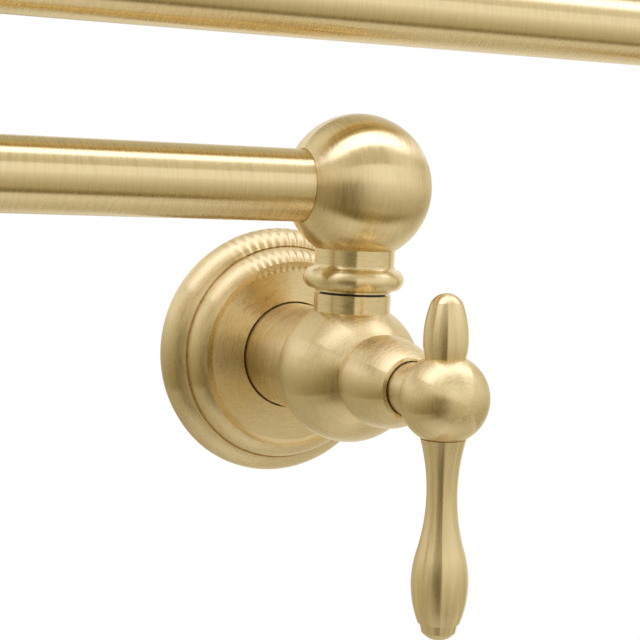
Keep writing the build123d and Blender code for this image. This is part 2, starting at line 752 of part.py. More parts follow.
def down_spout():
    """Turned spout, modelled upward from the valve's neck and hung upside down."""
    ring_start = spout_thread_start - spout_ring_shoulder - spout_ring_cove
    cove_top = ring_start + spout_ring_cove
    cove_end = ring_start + spout_ring_cove * spout_cove_share
    taper_start = collar_ring_place + collar_ring_curve + collar_cove_curve
    body = turned(
        (0, neck_thread_floor),
        (neck_thread_radius, neck_thread_floor),
        (neck_thread_radius, neck_height),
        (collar_foot_radius, neck_height),
        *collar_outline(),
        (elbow_neck_radius, taper_start),
        (spout_radius, taper_start + spout_taper_length),
        waist(spout_radius, ring_start, spout_ring_cove, ring_start, cove_end),
        (spout_ring_radius - edge_break, cove_top),
        (spout_ring_radius, cove_top + edge_break),
        (spout_ring_radius, spout_end - edge_break),
        (spout_ring_radius - edge_break, spout_end),
        (0, spout_end),
    )
    body -= rod(spout_post_bore, neck_thread_floor, neck_height)
    body -= rod(spout_bore_radius, neck_height, spout_end)
    return body - rod(aerator_thread_radius + fixed_fit, spout_thread_start, spout_end)


def aerator_case():
    """Threaded case of the aerator with two wrench slots in its flange."""
    flange_radius = spout_ring_radius - aerator_flange_step
    body = rod(aerator_thread_radius, aerator_top, spout_end)
    body += rod(flange_radius, spout_end, aerator_bottom)
    body = chamfer(body.edges().group_by(Axis.Z)[-1], edge_break)
    body -= rod(aerator_inside, aerator_top, aerator_bottom - aerator_lip)
    body -= rod(aerator_inside - aerator_lip, aerator_top, aerator_bottom)
    slot = Pos(0, 0, aerator_bottom) * Box(4 * flange_radius, aerator_slot_width, 2 * aerator_slot_depth)
    return body - (slot - rod(aerator_thread_radius, aerator_top, aerator_bottom + cut_overrun))


def aerator_insert():
    """Flow straightener: a plug with two circles of jets."""
    bottom = aerator_bottom - aerator_lip
    body = rod(aerator_inside - fixed_fit, aerator_top, bottom)
    for radius, count in jet_circles:
        body -= PolarLocations(radius, count) * rod(jet_radius, aerator_top, bottom)
    return body


def aerator_washer():
    """Rubber washer above the aerator."""
    outer = aerator_thread_radius - loose_fit
    return ring(outer, spout_bore_radius + loose_fit, spout_thread_start, aerator_top)


# ---------------------------------------------------------------- the assembly


lower_axis_height = wall_swivel_rise
upper_axis_height = wall_swivel_rise + far_swivel_rise
far_x = -lower_arm_length
outlet_x = far_x + upper_arm_length

on_wall = along((0, 0, 0), (0, -1, 0))
wall_ball = Pos(0, -wall_to_swivel, 0)
lower_end = Pos(far_x, -wall_to_swivel, lower_axis_height)
wall_valve = along((0, -wall_to_swivel, 0), (0, -1, 0))
outlet_valve = along((outlet_x, -wall_to_swivel, upper_axis_height), (1, 0, 0))
hanging = Pos(outlet_x, -wall_to_swivel, upper_axis_height) * Rot(180, 0, 0)

save("wall_flange", on_wall * wall_flange())
save("flange_seal", on_wall * seal(flange_seal_section, shank_radius, flange_seal_height))
save("wall_gasket", on_wall * wall_gasket())
save("supply_adapter", on_wall * supply_adapter())
adapter_seal_heights = [adapter_end - place for place in adapter_seal_places]
save_seals("adapter_seals", on_wall, adapter_groove_floor, adapter_seal_heights)
save("inlet_shank", on_wall * inlet_shank())
save("shank_set_screw", on_wall * shank_set_screw())

save_valve("wall", wall_valve, valve_body("shank"), handle_lean)
save_swivel("wall", wall_ball, wall_swivel_rise, -1)

lower_tube = arm_tube(far_x + tube_seat, -tube_seat)
save("lower_arm_tube", Pos(0, -wall_to_swivel, lower_axis_height) * lower_tube)
save("lower_arm_far_ball", lower_end * far_ball())
save_swivel("far", lower_end, far_swivel_rise, 1)

upper_tube = arm_tube(far_x + tube_seat, outlet_x - tube_seat)
save("upper_arm_tube", Pos(0, -wall_to_swivel, upper_axis_height) * upper_tube)
save_valve("outlet", outlet_valve, Rot(0, 0, 180) * valve_body("tube"), 0)
save("down_spout", hanging * down_spout())
save("aerator_case", hanging * aerator_case())
save("aerator_insert", hanging * aerator_insert())
save("aerator_washer", hanging * aerator_washer())
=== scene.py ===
import json
from math import asin, atan2, ceil, cos, degrees, pi, radians, sin, sqrt

import bmesh
import bpy
from bpy.props import FloatProperty, FloatVectorProperty, IntProperty, PointerProperty
from mathutils import Matrix, Vector


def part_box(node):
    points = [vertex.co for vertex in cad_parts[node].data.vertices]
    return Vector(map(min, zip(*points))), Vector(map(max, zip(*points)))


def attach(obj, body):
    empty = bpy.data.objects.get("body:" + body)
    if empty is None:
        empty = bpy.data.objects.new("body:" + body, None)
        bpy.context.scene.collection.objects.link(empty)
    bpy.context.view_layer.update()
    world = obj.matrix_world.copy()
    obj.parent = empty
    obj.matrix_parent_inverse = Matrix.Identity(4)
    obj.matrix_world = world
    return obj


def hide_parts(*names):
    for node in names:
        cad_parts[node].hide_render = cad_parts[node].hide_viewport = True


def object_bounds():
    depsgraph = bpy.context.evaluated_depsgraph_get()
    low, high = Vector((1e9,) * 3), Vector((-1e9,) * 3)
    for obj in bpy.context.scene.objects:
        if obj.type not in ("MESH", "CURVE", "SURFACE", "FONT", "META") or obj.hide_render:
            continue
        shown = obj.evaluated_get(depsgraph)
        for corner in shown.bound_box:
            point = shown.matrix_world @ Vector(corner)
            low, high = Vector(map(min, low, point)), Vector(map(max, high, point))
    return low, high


bl_info = {
    "name": "Wall mounted pot filler",
    "version": (1, 0, 0),
    "blender": (4, 5, 0),
    "location": "3D View > Sidebar > Pot filler",
    "description": "Brushed gold pot filler, piece by piece, round its packed solids",
    "category": "Add Mesh",
}

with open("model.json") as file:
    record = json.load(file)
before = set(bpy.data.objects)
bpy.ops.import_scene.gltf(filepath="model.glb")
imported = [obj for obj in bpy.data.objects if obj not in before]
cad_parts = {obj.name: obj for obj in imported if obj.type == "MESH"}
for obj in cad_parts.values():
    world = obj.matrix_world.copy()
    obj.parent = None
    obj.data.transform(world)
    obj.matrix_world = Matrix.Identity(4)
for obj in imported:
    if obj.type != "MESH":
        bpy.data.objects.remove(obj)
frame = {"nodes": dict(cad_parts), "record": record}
CAD_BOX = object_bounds()
BODIES = frame["record"]["behaviour"]["bodies"]
SLOTS = {part["node"]: part["material_slot"] for part in frame["record"]["subparts"]}
# UV map of a turned piece: turns round its axis, and metres along its outline.
TURNED = "turned"
# All lengths are in metres. Points closer than this are one point.
EPSILON = 1e-6
# An arc is drawn in steps of so many degrees at most.
ARC_STEP = 4
# Gap in radius between pieces that are screwed or pushed together.
FIXED_FIT = 0.00003
# How far a cutter reaches past the face that it cuts.
PAST = 0.001
# How far a piece reaches into the one that it is joined to.
INTO = 0.0001
# How far a broken edge reaches from its corner.
SHEET_EDGE = 0.0002
THREAD_EDGE = 0.0003
SHANK_EDGE = 0.0004
SEAM_EDGE = 0.00015
NECK_EDGE = 0.00012


# ---------------------------------------------------------------- sizes and colours


def size(name, description, millimetres):
    """Length property, given in millimetres and kept in metres."""
    return FloatProperty(name=name, description=description, default=millimetres / 1000, min=0,
                         precision=5, unit="LENGTH", subtype="DISTANCE")


def share(name, description, default):
    """Property from 0 to 1."""
    return FloatProperty(name=name, description=description, default=default, min=0, max=1,
                         subtype="FACTOR")


def linear(code):
    """Linear RGBA of an sRGB colour written as a hex code."""
    parts = [int(code[i:i + 2], 16) / 255 for i in (1, 3, 5)]
    return tuple(p / 12.92 if p <= 0.04045 else ((p + 0.055) / 1.055) ** 2.4 for p in parts) + (1.0,)


def colour(name, description, code):
    """Colour property, given as an sRGB hex code."""
    return FloatVectorProperty(name=name, description=description, default=linear(code), size=4,
                               min=0, max=1, subtype="COLOR")


def middle(node):
    """Centre of a packed solid's box."""
    low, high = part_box(node)
    return (low + high) / 2


class FlangeSizes(bpy.types.PropertyGroup):
    """Slip flange at the wall, from the wall forward and from the rim inward."""
    rim_radius: size("Rim radius", "Widest radius of the rim", 35.3)
    rim_draft: size("Rim draft", "How far the rim draws in at the wall", 0.9)
    rim_height: size("Rim height", "Wall to the rim's widest place", 3.6)
    rim_rise: size("Rim rise", "From there on to the groove", 6.4)
    rim_run: size("Rim run", "From there inward to the groove", 4.6)
    groove: size("Groove", "Depth of the groove between rim and bead", 0.45)
    bead_rise: size("Bead rise", "Groove to the crest of the bead", 5.9)
    bead_run: size("Bead run", "Groove inward to the crest of the bead", 3.65)
    cove_run: size("Cove run", "Crest inward to the dish", 2.0)
    dish_drop: size("Dish drop", "Crest down to the dish", 0.9)
    lip_rise: size("Lip rise", "How far the dish climbs to its hole", 0.5)
    hole_radius: size("Hole radius", "Hole that the shank passes", 15.15)
    sleeve_length: size("Sleeve length", "Sleeve behind the hole", 8.0)
    wall: size("Wall", "Thickness of the metal", 1.3)
    ripples: IntProperty(name="Ripples", description="Polishing ripples there would be in a whole turn",
                         default=80, min=0)
    ripple_middle: FloatProperty(name="Ripple middle", default=0.012, precision=3,
                                 description="Middle of the ripples, in turns from the top")
    ripple_reach: FloatProperty(name="Ripple reach", default=0.09, min=0, precision=3,
                                description="How far they reach to both sides, in turns")
    ripple_fade: FloatProperty(name="Ripple fade", default=0.04, min=0, precision=3,
                               description="How much of that reach they take to fade, in turns")


class InletSizes(bpy.types.PropertyGroup):
    """Supply adapter behind the flange and the shank in front of it."""
    thread_radius: size("Thread radius", "Half inch pipe thread, over its crests", 10.65)
    thread_pitch: size("Thread pitch", "From one turn of the pipe thread to the next", 1.814)
    thread_depth: size("Thread depth", "Root to crest of the pipe thread", 1.16)
    thread_length: size("Thread length", "Length of the pipe thread", 16.0)
    relief_radius: size("Relief radius", "Turned relief between thread and shoulder", 9.4)
    relief_length: size("Relief length", "Length of the relief", 2.0)
    shoulder_radius: size("Shoulder radius", "Shoulder over its corners", 13.0)
    shoulder_length: size("Shoulder length", "Length of the hexagonal shoulder", 3.4)
    flats: size("Flats", "Across the shoulder's wrench flats", 23.0)
    spigot_radius: size("Spigot radius", "Spigot that the shank slides over", 11.3)
    spigot_length: size("Spigot length", "Length of the spigot", 21.6)
    bore_radius: size("Bore radius", "Water way", 6.0)
    shank_radius: size("Shank radius", "Outside of the shank", 14.75)
    shank_bore: size("Shank bore", "Inside of the shank, over the spigot", 11.35)
    shank_start: size("Shank start", "Wall to the shank's back end", 3.9)
    floor_length: size("Floor length", "Narrow bore at the shank's front end", 6.0)
    floor_cone: size("Floor cone", "Cone behind it, out to the shank's bore", 1.0)
    screw_place: size("Screw place", "Back end of the shank to its set screw", 5.0)
    screw_radius: size("Screw radius", "Hole of the set screw", 2.53)


class ValveSizes(bpy.types.PropertyGroup):
    """Quarter turn valve: ball, collar, neck and bonnet, along its stem from the ball's centre."""
    ball_radius: size("Ball radius", "Ball of the valve body", 19.0)
    collar_radius: size("Collar radius", "Collar towards the shank", 14.9)
    collar_place: size("Collar place", "Ball centre back to the collar's face", 15.3)
    collar_fillet: size("Collar fillet", "Hollow round between collar and ball", 0.6)
    neck_radius: size("Neck radius", "Neck towards the swivel", 10.25)
    neck_height: size("Neck height", "Ball centre to the neck's face", 20.75)
    neck_root: size("Neck root", "Cartridge pocket out to where the neck starts", 0.9)
    neck_bore: size("Neck bore", "Water way in the neck", 6.5)
    neck_socket: size("Neck socket", "Threaded hole in the neck", 8.03)
    socket_floor: size("Socket floor", "Ball centre to the floor of that hole", 12.15)
    pocket_radius: size("Pocket radius", "Pocket of the cartridge", 8.1)
    seat_place: size("Seat place", "Ball centre back to the cartridge's seat", 6.0)
    seat_back: size("Seat back", "Ball centre back to the back of the seat", 9.0)
    seat_bore: size("Seat bore", "Hole in the seat", 4.4)
    seam_place: size("Seam place", "Ball centre to the seam of the bonnet", 15.47)
    bonnet_radius: size("Bonnet radius", "Widest radius of the bonnet", 12.0)
    bonnet_place: size("Bonnet place", "Ball centre to the bonnet's widest place", 20.2)
    bonnet_face: size("Bonnet face", "Ball centre to the bonnet's face", 34.1)
    bonnet_front_radius: size("Bonnet front radius", "Radius of the bonnet at its face", 7.95)
    bonnet_lip: size("Bonnet lip", "Round at the bonnet's face", 0.3)
    mouth_radius: size("Mouth radius", "Mouth for the stem", 7.2)
    mouth_depth: size("Mouth depth", "Depth of the mouth", 3.2)
    bonnet_bore: size("Bonnet bore", "Inside of the bonnet over the cartridge", 6.2)
    bonnet_back: size("Bonnet back", "Ball centre to the back of the bonnet's thread", 8.6)
    guide_radius: size("Guide radius", "Hole that guides the spindle", 4.05)
    guide_length: size("Guide length", "Length of that hole", 3.6)
    guide_cone: size("Guide cone", "Cone behind it, out to the bonnet's bore", 1.5)


class HandleSizes(bpy.types.PropertyGroup):
    """Handle: hub on the stem, finial above and lever below, in places from the hub's flats."""
    hub_radius: size("Hub radius", "Ball of the hub", 11.1)
    hub_place: size("Hub place", "Valve ball centre to the hub's centre", 50.3)
    flat_place: size("Flat place", "Hub centre to its flats", 9.75)
    stem_radius: size("Stem radius", "Collar between bonnet and hub", 6.85)
    stem_start: size("Stem start", "Valve ball centre to the collar's back", 31.4)
    socket_radius: size("Socket radius", "Hole for the spindle", 4.03)
    socket_end: size("Socket end", "Valve ball centre to the end of that hole", 45.9)
    grub_radius: size("Grub radius", "Hole of the grub screw", 1.53)
    grub_place: size("Grub place", "From the collar's back", 5.7)
    lean: FloatProperty(name="Lean", description="How far the wall handle stands off plumb",
                        default=radians(2), unit="ROTATION", subtype="ANGLE")
    stud_radius: size("Stud radius", "Stud of finial and lever", 2.5)
    stud_length: size("Stud length", "Length of that stud", 4.0)
    finial_base: size("Finial base", "Radius of the finial at the hub", 4.95)
    finial_belly: size("Finial belly", "Widest radius of the finial", 5.57)
    finial_belly_place: size("Finial belly place", "Flat to the widest place", 4.25)
    finial_shoulder: size("Finial shoulder", "Radius at the shoulder", 3.88)
    finial_shoulder_place: size("Finial shoulder place", "Flat to the shoulder", 13.75)
    finial_dome: size("Finial dome", "Height of the dome", 2.25)
    waist_radius: size("Waist radius", "Narrowest radius of the lever", 3.8)
    waist_place: size("Waist place", "Flat to the waist", 13.55)
    waist_curve: size("Waist curve", "Radius of the hollow", 50.0)
    bulb_radius: size("Bulb radius", "Widest radius of the bulb", 7.1)
    bulb_place: size("Bulb place", "Flat to the bulb's widest place", 35.85)
    foot_place: size("Foot place", "Flat to the end of the bulb", 45.65)
    foot_radius: size("Foot radius", "Radius of the foot", 4.75)
    toe_place: size("Toe place", "Flat to the toe", 48.05)
    toe_radius: size("Toe radius", "Radius of the toe", 4.25)
    toe_dome: size("Toe dome", "Height of the toe's dome", 2.098)


class ArmSizes(bpy.types.PropertyGroup):
    """Elbows, swivels and tubes. Heights are from the centre of the ball below."""
    tube_radius: size("Tube radius", "Outside of the tubes", 9.5)
    tube_bore: size("Tube bore", "Inside of the tubes", 8.3)
    tube_seat: size("Tube seat", "Ball centre to the end of a tube", 11.0)
    bore_lap: size("Bore lap", "How far the tube's bore reaches past the neck's", 0.8)
    socket_mouth: size("Socket mouth", "Broken edge of a tube's socket", 0.25)
    elbow_radius: size("Elbow radius", "Ball of an elbow", 19.5)
    elbow_foot: size("Elbow foot", "Lower face of an elbow", 21.35)
    foot_radius: size("Foot radius", "Radius of that face", 10.1)
    foot_height: size("Foot height", "Height of the foot below the ring", 0.45)
    ring_radius: size("Ring radius", "Widest radius of the collar ring", 13.45)
    ring_place: size("Ring place", "Height of that widest place", 24.8)
    ring_curve: size("Ring curve", "Round of the ring", 2.95)
    ring_start: size("Ring start", "How far below its widest place the round starts", 2.5)
    cove: size("Cove", "Hollow round above the ring", 1.4)
    neck_radius: size("Neck radius", "Neck above the ring", 10.65)
    neck_gap: size("Neck gap", "Upper end of the neck to the elbow ball's centre", 8.5)
    gland_radius: size("Gland radius", "Threaded hole for the gland", 9.13)
    gland_end: size("Gland end", "Height of the gland's upper end", 28.65)
    head_radius: size("Head radius", "Bore over the head of the swivel post", 8.65)
    head_end: size("Head end", "Height of that bore's end", 37.6)


class SpoutSizes(bpy.types.PropertyGroup):
    """Down spout and aerator, downward from the valve ball's centre."""
    post_radius: size("Post radius", "Threaded end in the valve's neck", 8.0)
    post_bore: size("Post bore", "Water way in that end", 5.5)
    radius: size("Radius", "Straight part of the spout", 9.5)
    foot_slope: size("Foot slope", "Height of the slope from the foot out to the ring", 0.5)
    taper_length: size("Taper length", "From the neck's radius to the spout's", 12.0)
    bore: size("Bore", "Inside of the spout", 7.2)
    end: size("End", "Lower face of the spout", 84.0)
    ring_radius: size("Ring radius", "Ring at the lower end", 12.2)
    ring_cove: size("Ring cove", "Hollow round above the ring", 2.6)
    ring_top: size("Ring top", "Ball centre to the top of the ring", 73.1)
    edge: size("Edge", "Broken outside edges", 0.4)
    aerator_socket: size("Aerator socket", "Threaded hole for the aerator", 10.93)
    socket_top: size("Socket top", "Ball centre to the top of that hole", 73.6)
    case_radius: size("Case radius", "Thread of the aerator's case", 10.9)
    case_top: size("Case top", "Ball centre to the top of the case", 75.0)
    flange_radius: size("Flange radius", "Flange of the case", 11.9)
    flange_thickness: size("Flange thickness", "Thickness of that flange", 1.6)
    case_bore: size("Case bore", "Inside of the case", 9.5)
    opening: size("Opening", "Mouth of the case", 8.3)
    lip: size("Lip", "Thickness of the ledge that holds the insert", 1.2)
    slot_width: size("Slot width", "Wrench slots in the flange", 2.2)
    slot_depth: size("Slot depth", "Depth of the wrench slots", 0.6)


class FinishSettings(bpy.types.PropertyGroup):
    """Colours of the finishes, and how strongly the brushing shows."""
    gold: colour("Gold", "Brushed gold coat on brass", "#F3DDAC")
    brass: colour("Brass", "Bare machined brass", "#D0B06A")
    steel: colour("Steel", "Stainless steel of screws and clips", "#B9B8B5")
    rubber: colour("Rubber", "Black nitrile rubber", "#1E1E1F")
    # dark grey washers: their own colour, and also painted shade for the thin dark line in each swivel's gap
    washer_grey_and_gap_shade: colour("Washer grey and gap shade", "Graphite filled low friction washers", "#2A2A2B")
    acetal: colour("Acetal", "Moulded case of the cartridge", "#D9D7CF")
    mesh_plastic: colour("Aerator plastic", "Moulded aerator insert", "#CFD0CE")
    ceramic: colour("Ceramic", "Lapped alumina discs", "#EDEBE4")
    fine_roughness: share("Fine roughness", "Brushing of the balls, hubs and bonnets", 0.25)
    even_roughness: share("Even roughness", "Brushing of the tubes, necks and levers", 0.26)
    flange_roughness: share("Flange roughness", "Brushing of the flange", 0.28)
    gold_anisotropy: share("Gold anisotropy", "How far the brushing stretches reflections", 1.0)
    line_pitch: size("Line pitch", "From one brushing line to the next, as drawn", 0.7)
    streak_length: size("Streak length", "Length of the lines that run along levers and finials", 12.0)
    line_depth: size("Line depth", "Depth of the brushing lines", 0.005)
    # painted shade: the bottom of each brushing line is drawn darker, as if shade fell in the groove
    painted_line_shade: share("Painted line shade", "How much darker the metal is at the bottom of a line", 0.1)
    ripple_depth: size("Ripple depth", "Depth of the flange's polishing ripples", 0.14)


class StageSettings(bpy.types.PropertyGroup):
    """Floor, light and the photograph's camera."""
    floor_colour: colour("Floor colour", "Pale floor under the tap", "#F7F6F4")
    floor_drop: size("Floor drop", "How far the floor lies below the lowest point", 900.0)
    floor_radius: size("Floor radius", "Radius of the floor", 4000.0)
    floor_roughness: share("Floor roughness", "Matt floor", 0.8)
    floor_near: size("Floor near", "Up to here the floor keeps part of its shading", 1200.0)
    floor_far: size("Floor far", "From here on it is drawn plain white", 2000.0)
    floor_white: share("Floor white", "How far it is drawn white near the tap", 0.6)
    softbox_height: size("Softbox height", "Overhead softbox above the inlet", 1020.0)
    softbox_length: size("Softbox length", "Softbox along X", 2600.0)
    softbox_width: size("Softbox width", "Softbox along Y", 660.0)
    softbox_colour: colour("Softbox colour", "Daylight tubes behind the overhead cloth", "#D6DEFF")
    softbox_power: FloatProperty(name="Softbox power", description="Power of the overhead softbox",
                                 default=8.6, min=0, unit="POWER")
    net_reach: FloatVectorProperty(name="Net reach", description="From the middle to the nets on each side",
                                   default=(1.3, 1.1, 0.92), size=3, unit="LENGTH", subtype="XYZ_LENGTH")
    lens: FloatProperty(name="Lens", description="Focal length for the sensor below",
                        default=98.53, min=1, unit="CAMERA")
    sensor: FloatProperty(name="Sensor", description="Width of that sensor", default=36.0, min=1,
                          unit="CAMERA")
    camera_place: FloatVectorProperty(name="Camera place", default=(-0.21714, -0.46160, 0.05871),
                                      description="Where the photograph was taken from", size=3,
                                      precision=5, unit="LENGTH", subtype="TRANSLATION")
    azimuth: FloatProperty(name="Azimuth", description="How far the camera looks to the right of +Y",
                           default=radians(26.79), unit="ROTATION", subtype="ANGLE")
    tilt: FloatProperty(name="Tilt", description="How far the camera looks down",
                        default=radians(5.58), unit="ROTATION", subtype="ANGLE")
    roll: FloatProperty(name="Roll", description="How far the camera leans",
                        default=radians(2.85), unit="ROTATION", subtype="ANGLE")


# ---------------------------------------------------------------- places in the row frame


def along(origin, stem):
    """Place of a piece whose Z runs along stem and whose Y is up."""
    stem = Vector(stem)
    up = Vector((0, 0, 1))
    columns = Matrix((up.cross(stem), up, stem)).transposed().to_4x4()
    return Matrix.Translation(Vector(origin)) @ columns


def ball_centre(on_axis, height):
    """Centre of a ball: over the middle of a packed piece on its axis, at this height."""
    axis = middle(on_axis)
    return Vector((axis.x, axis.y, height))


WALL_BALL = ball_centre("wall_swivel_washer", 0)
FAR_BALL = ball_centre("far_swivel_washer", middle("lower_arm_tube").z)
OUTLET_BALL = ball_centre("aerator_case", middle("upper_arm_tube").z)
ON_WALL = along((0, 0, 0), (0, -1, 0))
WALL_VALVE = along(WALL_BALL, (0, -1, 0))
OUTLET_VALVE = along(OUTLET_BALL, (1, 0, 0))
HANGING = Matrix.Translation(OUTLET_BALL) @ Matrix.Rotation(pi, 4, "X")
HALF_TURN = Matrix.Rotation(pi, 4, "Z")
# Turns of a piece that is drawn along Z: to a valve's up and down, which are Y and -Y, and to X and -X.
UPWARD = Matrix.Rotation(-pi / 2, 4, "X")
DOWNWARD = Matrix.Rotation(pi / 2, 4, "X")
RIGHTWARD = Matrix.Rotation(pi / 2, 4, "Y")
LEFTWARD = Matrix.Rotation(-pi / 2, 4, "Y")


# ---------------------------------------------------------------- turning and joining


def arc_curve(run, rise):
    """Radius of the arc that starts along the axis and ends this far in and this far on."""
    return (run**2 + rise**2) / (2 * run)


def half_width(radius, offset):
    """Half the width of a circle, this far from its centre."""
    return sqrt(radius**2 - offset**2)


class Outline:
    """Wire in the XZ plane, drawn point by point, that is then turned about Z."""

    def __init__(self, radius, height):
        self.mesh = bmesh.new()
        self.run = self.mesh.verts.layers.float.new("run")
        self.first = self.tip = self.mesh.verts.new((radius, 0, height))
        self.corners = {}

    def line(self, radius, height, steps=1):
        """Straight to a point, in equal steps."""
        start = self.tip.co.copy()
        for step in range(1, steps + 1):
            self.tip = bmesh.ops.extrude_vert_indiv(self.mesh, verts=[self.tip])["verts"][0]
            self.tip.co = start.lerp(Vector((radius, 0, height)), step / steps)
        return self

    def to_radius(self, radius, steps=1):
        """Straight in or out to a radius."""
        return self.line(radius, self.tip.co.z, steps)

    def to_height(self, height, steps=1):
        """Straight along the axis to a height."""
        return self.line(self.tip.co.x, height, steps)

    def arc(self, radius, height, stop, least=3):
        """Round a centre, the shorter way, in at least so many steps.

        It stops at an angle in degrees: 0 is outward, and 90 is along Z."""
        arm = self.tip.co - Vector((radius, 0, height))
        sweep = radians(stop) - atan2(arm.z, arm.x)
        if abs(sweep) > pi:
            sweep -= 2 * pi if sweep > 0 else -2 * pi
        steps = max(least, ceil(abs(degrees(sweep)) / ARC_STEP))
        turned = bmesh.ops.spin(self.mesh, geom=[self.tip], cent=(radius, 0, height), axis=(0, -1, 0),
                                dvec=(0, 0, 0), angle=sweep, steps=steps, use_merge=False,
                                use_normal_flip=False, use_duplicate=False)
        self.tip = turned["geom_last"][0]
        return self

    def soften(self, reach):
        """Marks the present corner to be rounded off, this far from it."""
        self.corners.setdefault(reach, []).append(self.tip)
        return self

    def close(self):
        """Joins the end to the start."""
        self.mesh.edges.new((self.tip, self.first))
        return self

    def measure(self):
        """Writes on every point how far along the wire it lies, either way round from the first one."""
        here, came, way = self.first, None, 0.0
        while here is not None:
            here[self.run] = way
            edge = next((e for e in here.link_edges if e is not came), None)
            way += edge.calc_length() if edge else 0.0
            here, came = edge.other_vert(here) if edge else None, edge
            if here is self.first:
                break

    def turn(self, steps=128):
        """The turned solid, closed at its poles, with its UV map."""
        for reach, corners in self.corners.items():
            bmesh.ops.bevel(self.mesh, geom=corners, offset=reach, offset_type="OFFSET", segments=3,
                            profile=0.5, affect="VERTICES", clamp_overlap=True, material=-1)
        self.measure()
        bmesh.ops.spin(self.mesh, geom=self.mesh.verts[:] + self.mesh.edges[:], cent=(0, 0, 0),
                       axis=(0, 0, 1), dvec=(0, 0, 0), angle=2 * pi, steps=steps, use_merge=True,
                       use_normal_flip=False, use_duplicate=False)
        bmesh.ops.remove_doubles(self.mesh, verts=self.mesh.verts[:], dist=EPSILON)
        bmesh.ops.recalc_face_normals(self.mesh, faces=self.mesh.faces[:])
        lay_turned_map(self.mesh, self.run)
        return self.mesh


def lay_turned_map(mesh, run):
    """UV map of a turned piece: turns round Z and metres along its outline."""
    layer = mesh.loops.layers.uv.new(TURNED)
    for face in mesh.faces:
        face.smooth = True
        centre = face.calc_center_median()
        middle_turn = atan2(centre.y, centre.x) / (2 * pi)
        for loop in face.loops:
            point = loop.vert.co
            turns = middle_turn if point.xy.length < EPSILON else atan2(point.y, point.x) / (2 * pi)
            turns += round(middle_turn - turns)
            loop[layer].uv = (turns, loop.vert[run])


def rod(radius, low, high, steps):
    """Turned cylinder that cuts or trims another piece."""
    return Outline(0, low).to_radius(radius).to_height(high).to_radius(0).turn(steps)


def as_object(mesh, name, place=Matrix.Identity(4)):
    """Object at the origin, with the place of the piece in its mesh."""
    mesh.transform(place)
    data = bpy.data.meshes.new(name)
    mesh.to_mesh(data)
    mesh.free()
    made = bpy.data.objects.new(name, data)
    bpy.context.scene.collection.objects.link(made)
    return made


def cut(main, tool, operation):
    """Joins tool to main or takes it off, and leaves main with the finished mesh."""
    step = main.modifiers.new("cut", "BOOLEAN")
    step.operation = operation
    step.solver = "EXACT"
    step.object = tool
    bpy.context.view_layer.update()
    finished = main.evaluated_get(bpy.context.evaluated_depsgraph_get())
    data = bpy.data.meshes.new_from_object(finished)
    main.modifiers.remove(step)
    old, main.data = main.data, data
    data.name = main.name
    bpy.data.meshes.remove(old)
    bpy.data.meshes.remove(tool.data)
    return main


def crisp(piece, angle=radians(8)):
    """Smooth shading, with the corners that turn by more than this angle kept crisp."""
    mesh = bmesh.new()
    mesh.from_mesh(piece.data)
    for face in mesh.faces:
        face.smooth = True
    for edge in mesh.edges:
        edge.smooth = len(edge.link_faces) == 2 and edge.calc_face_angle() < angle
    mesh.to_mesh(piece.data)
    mesh.free()


def body_of_node(node):
    """Body that carries a packed solid."""
    return next(body for body, nodes in BODIES.items() if node in nodes)


def dress(piece, node, material):
    """Finishes a piece that stands for one packed solid."""
    crisp(piece)
    piece.data.materials.clear()
    piece.data.materials.append(material)
    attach(piece, body_of_node(node))
    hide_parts(node)


# ---------------------------------------------------------------- finishes


def node(tree, kind, inputs=(), **settings):
    """Adds one node with its settings, and sets or links its inputs, given by name or in their order."""
    made = tree.nodes.new("ShaderNode" + kind)
    for name, value in settings.items():
        setattr(made, name, value)
    for place, value in inputs.items() if isinstance(inputs, dict) else enumerate(inputs):
        if isinstance(value, bpy.types.Node):
            value = value.outputs[0]
        if isinstance(value, bpy.types.NodeSocket):
            tree.links.new(value, made.inputs[place])
        else:
            made.inputs[place].default_value = value
    return made


def blank(kind, name):
    """New material or world, and its node tree, still empty."""
    made = kind.new(name)
    made.use_nodes = True
    made.node_tree.nodes.clear()
    return made, made.node_tree


# Nearly all values of a noise texture lie between these two.
NOISE_LOW, NOISE_HIGH = 0.3, 0.7
# Shares of a finish's roughness at those two.
BRUSHED_SPREAD = (0.9, 1.12)
PLAIN_SPREAD = (0.9, 1.1)
# Where the noise of the brushing goes over from a line's bottom, darkened with painted shade, to the metal
# between the lines.
LINE_LOW, LINE_HIGH = 0.38, 0.56
# Anisotropic rotation at which reflections spread across the rings of the brushing.
ACROSS_RINGS = 0.25


def coated(tree, grain, height, roughness, spread, inputs):
    """Joins a shader to the output, whose roughness follows the grain and whose bumps follow a height."""
    rough = node(tree, "MapRange", {"Value": grain, "From Min": NOISE_LOW, "From Max": NOISE_HIGH,
                                    "To Min": roughness * spread[0], "To Max": roughness * spread[1]})
    bump = node(tree, "Bump", {"Height": height, "Distance": 1.0, "Strength": 1.0})
    shader = node(tree, "BsdfPrincipled", {"Roughness": rough, "Normal": bump, **inputs})
    node(tree, "OutputMaterial", {"Surface": shader})


def brushing(tree, lines, streaks):
    """Grain of brushing on a turned piece, with lines to the metre, and its place in turns and metres.

    The noise runs round a circle, and streaks is its radius: the larger it is, the shorter they are."""
    parts = node(tree, "SeparateXYZ", (node(tree, "UVMap", uv_map=TURNED),)).outputs
    angle = node(tree, "Math", (parts["X"], 2 * pi), operation="MULTIPLY")
    cosine = node(tree, "Math", (angle,), operation="COSINE")
    sine = node(tree, "Math", (angle,), operation="SINE")
    place = node(tree, "CombineXYZ", (
        node(tree, "Math", (cosine, streaks), operation="MULTIPLY"),
        node(tree, "Math", (sine, streaks), operation="MULTIPLY"),
        node(tree, "Math", (parts["Y"], lines), operation="MULTIPLY")))
    grain = node(tree, "TexNoise", {"Vector": place, "Scale": 1.0, "Detail": 2.0, "Roughness": 0.5})
    return grain, parts


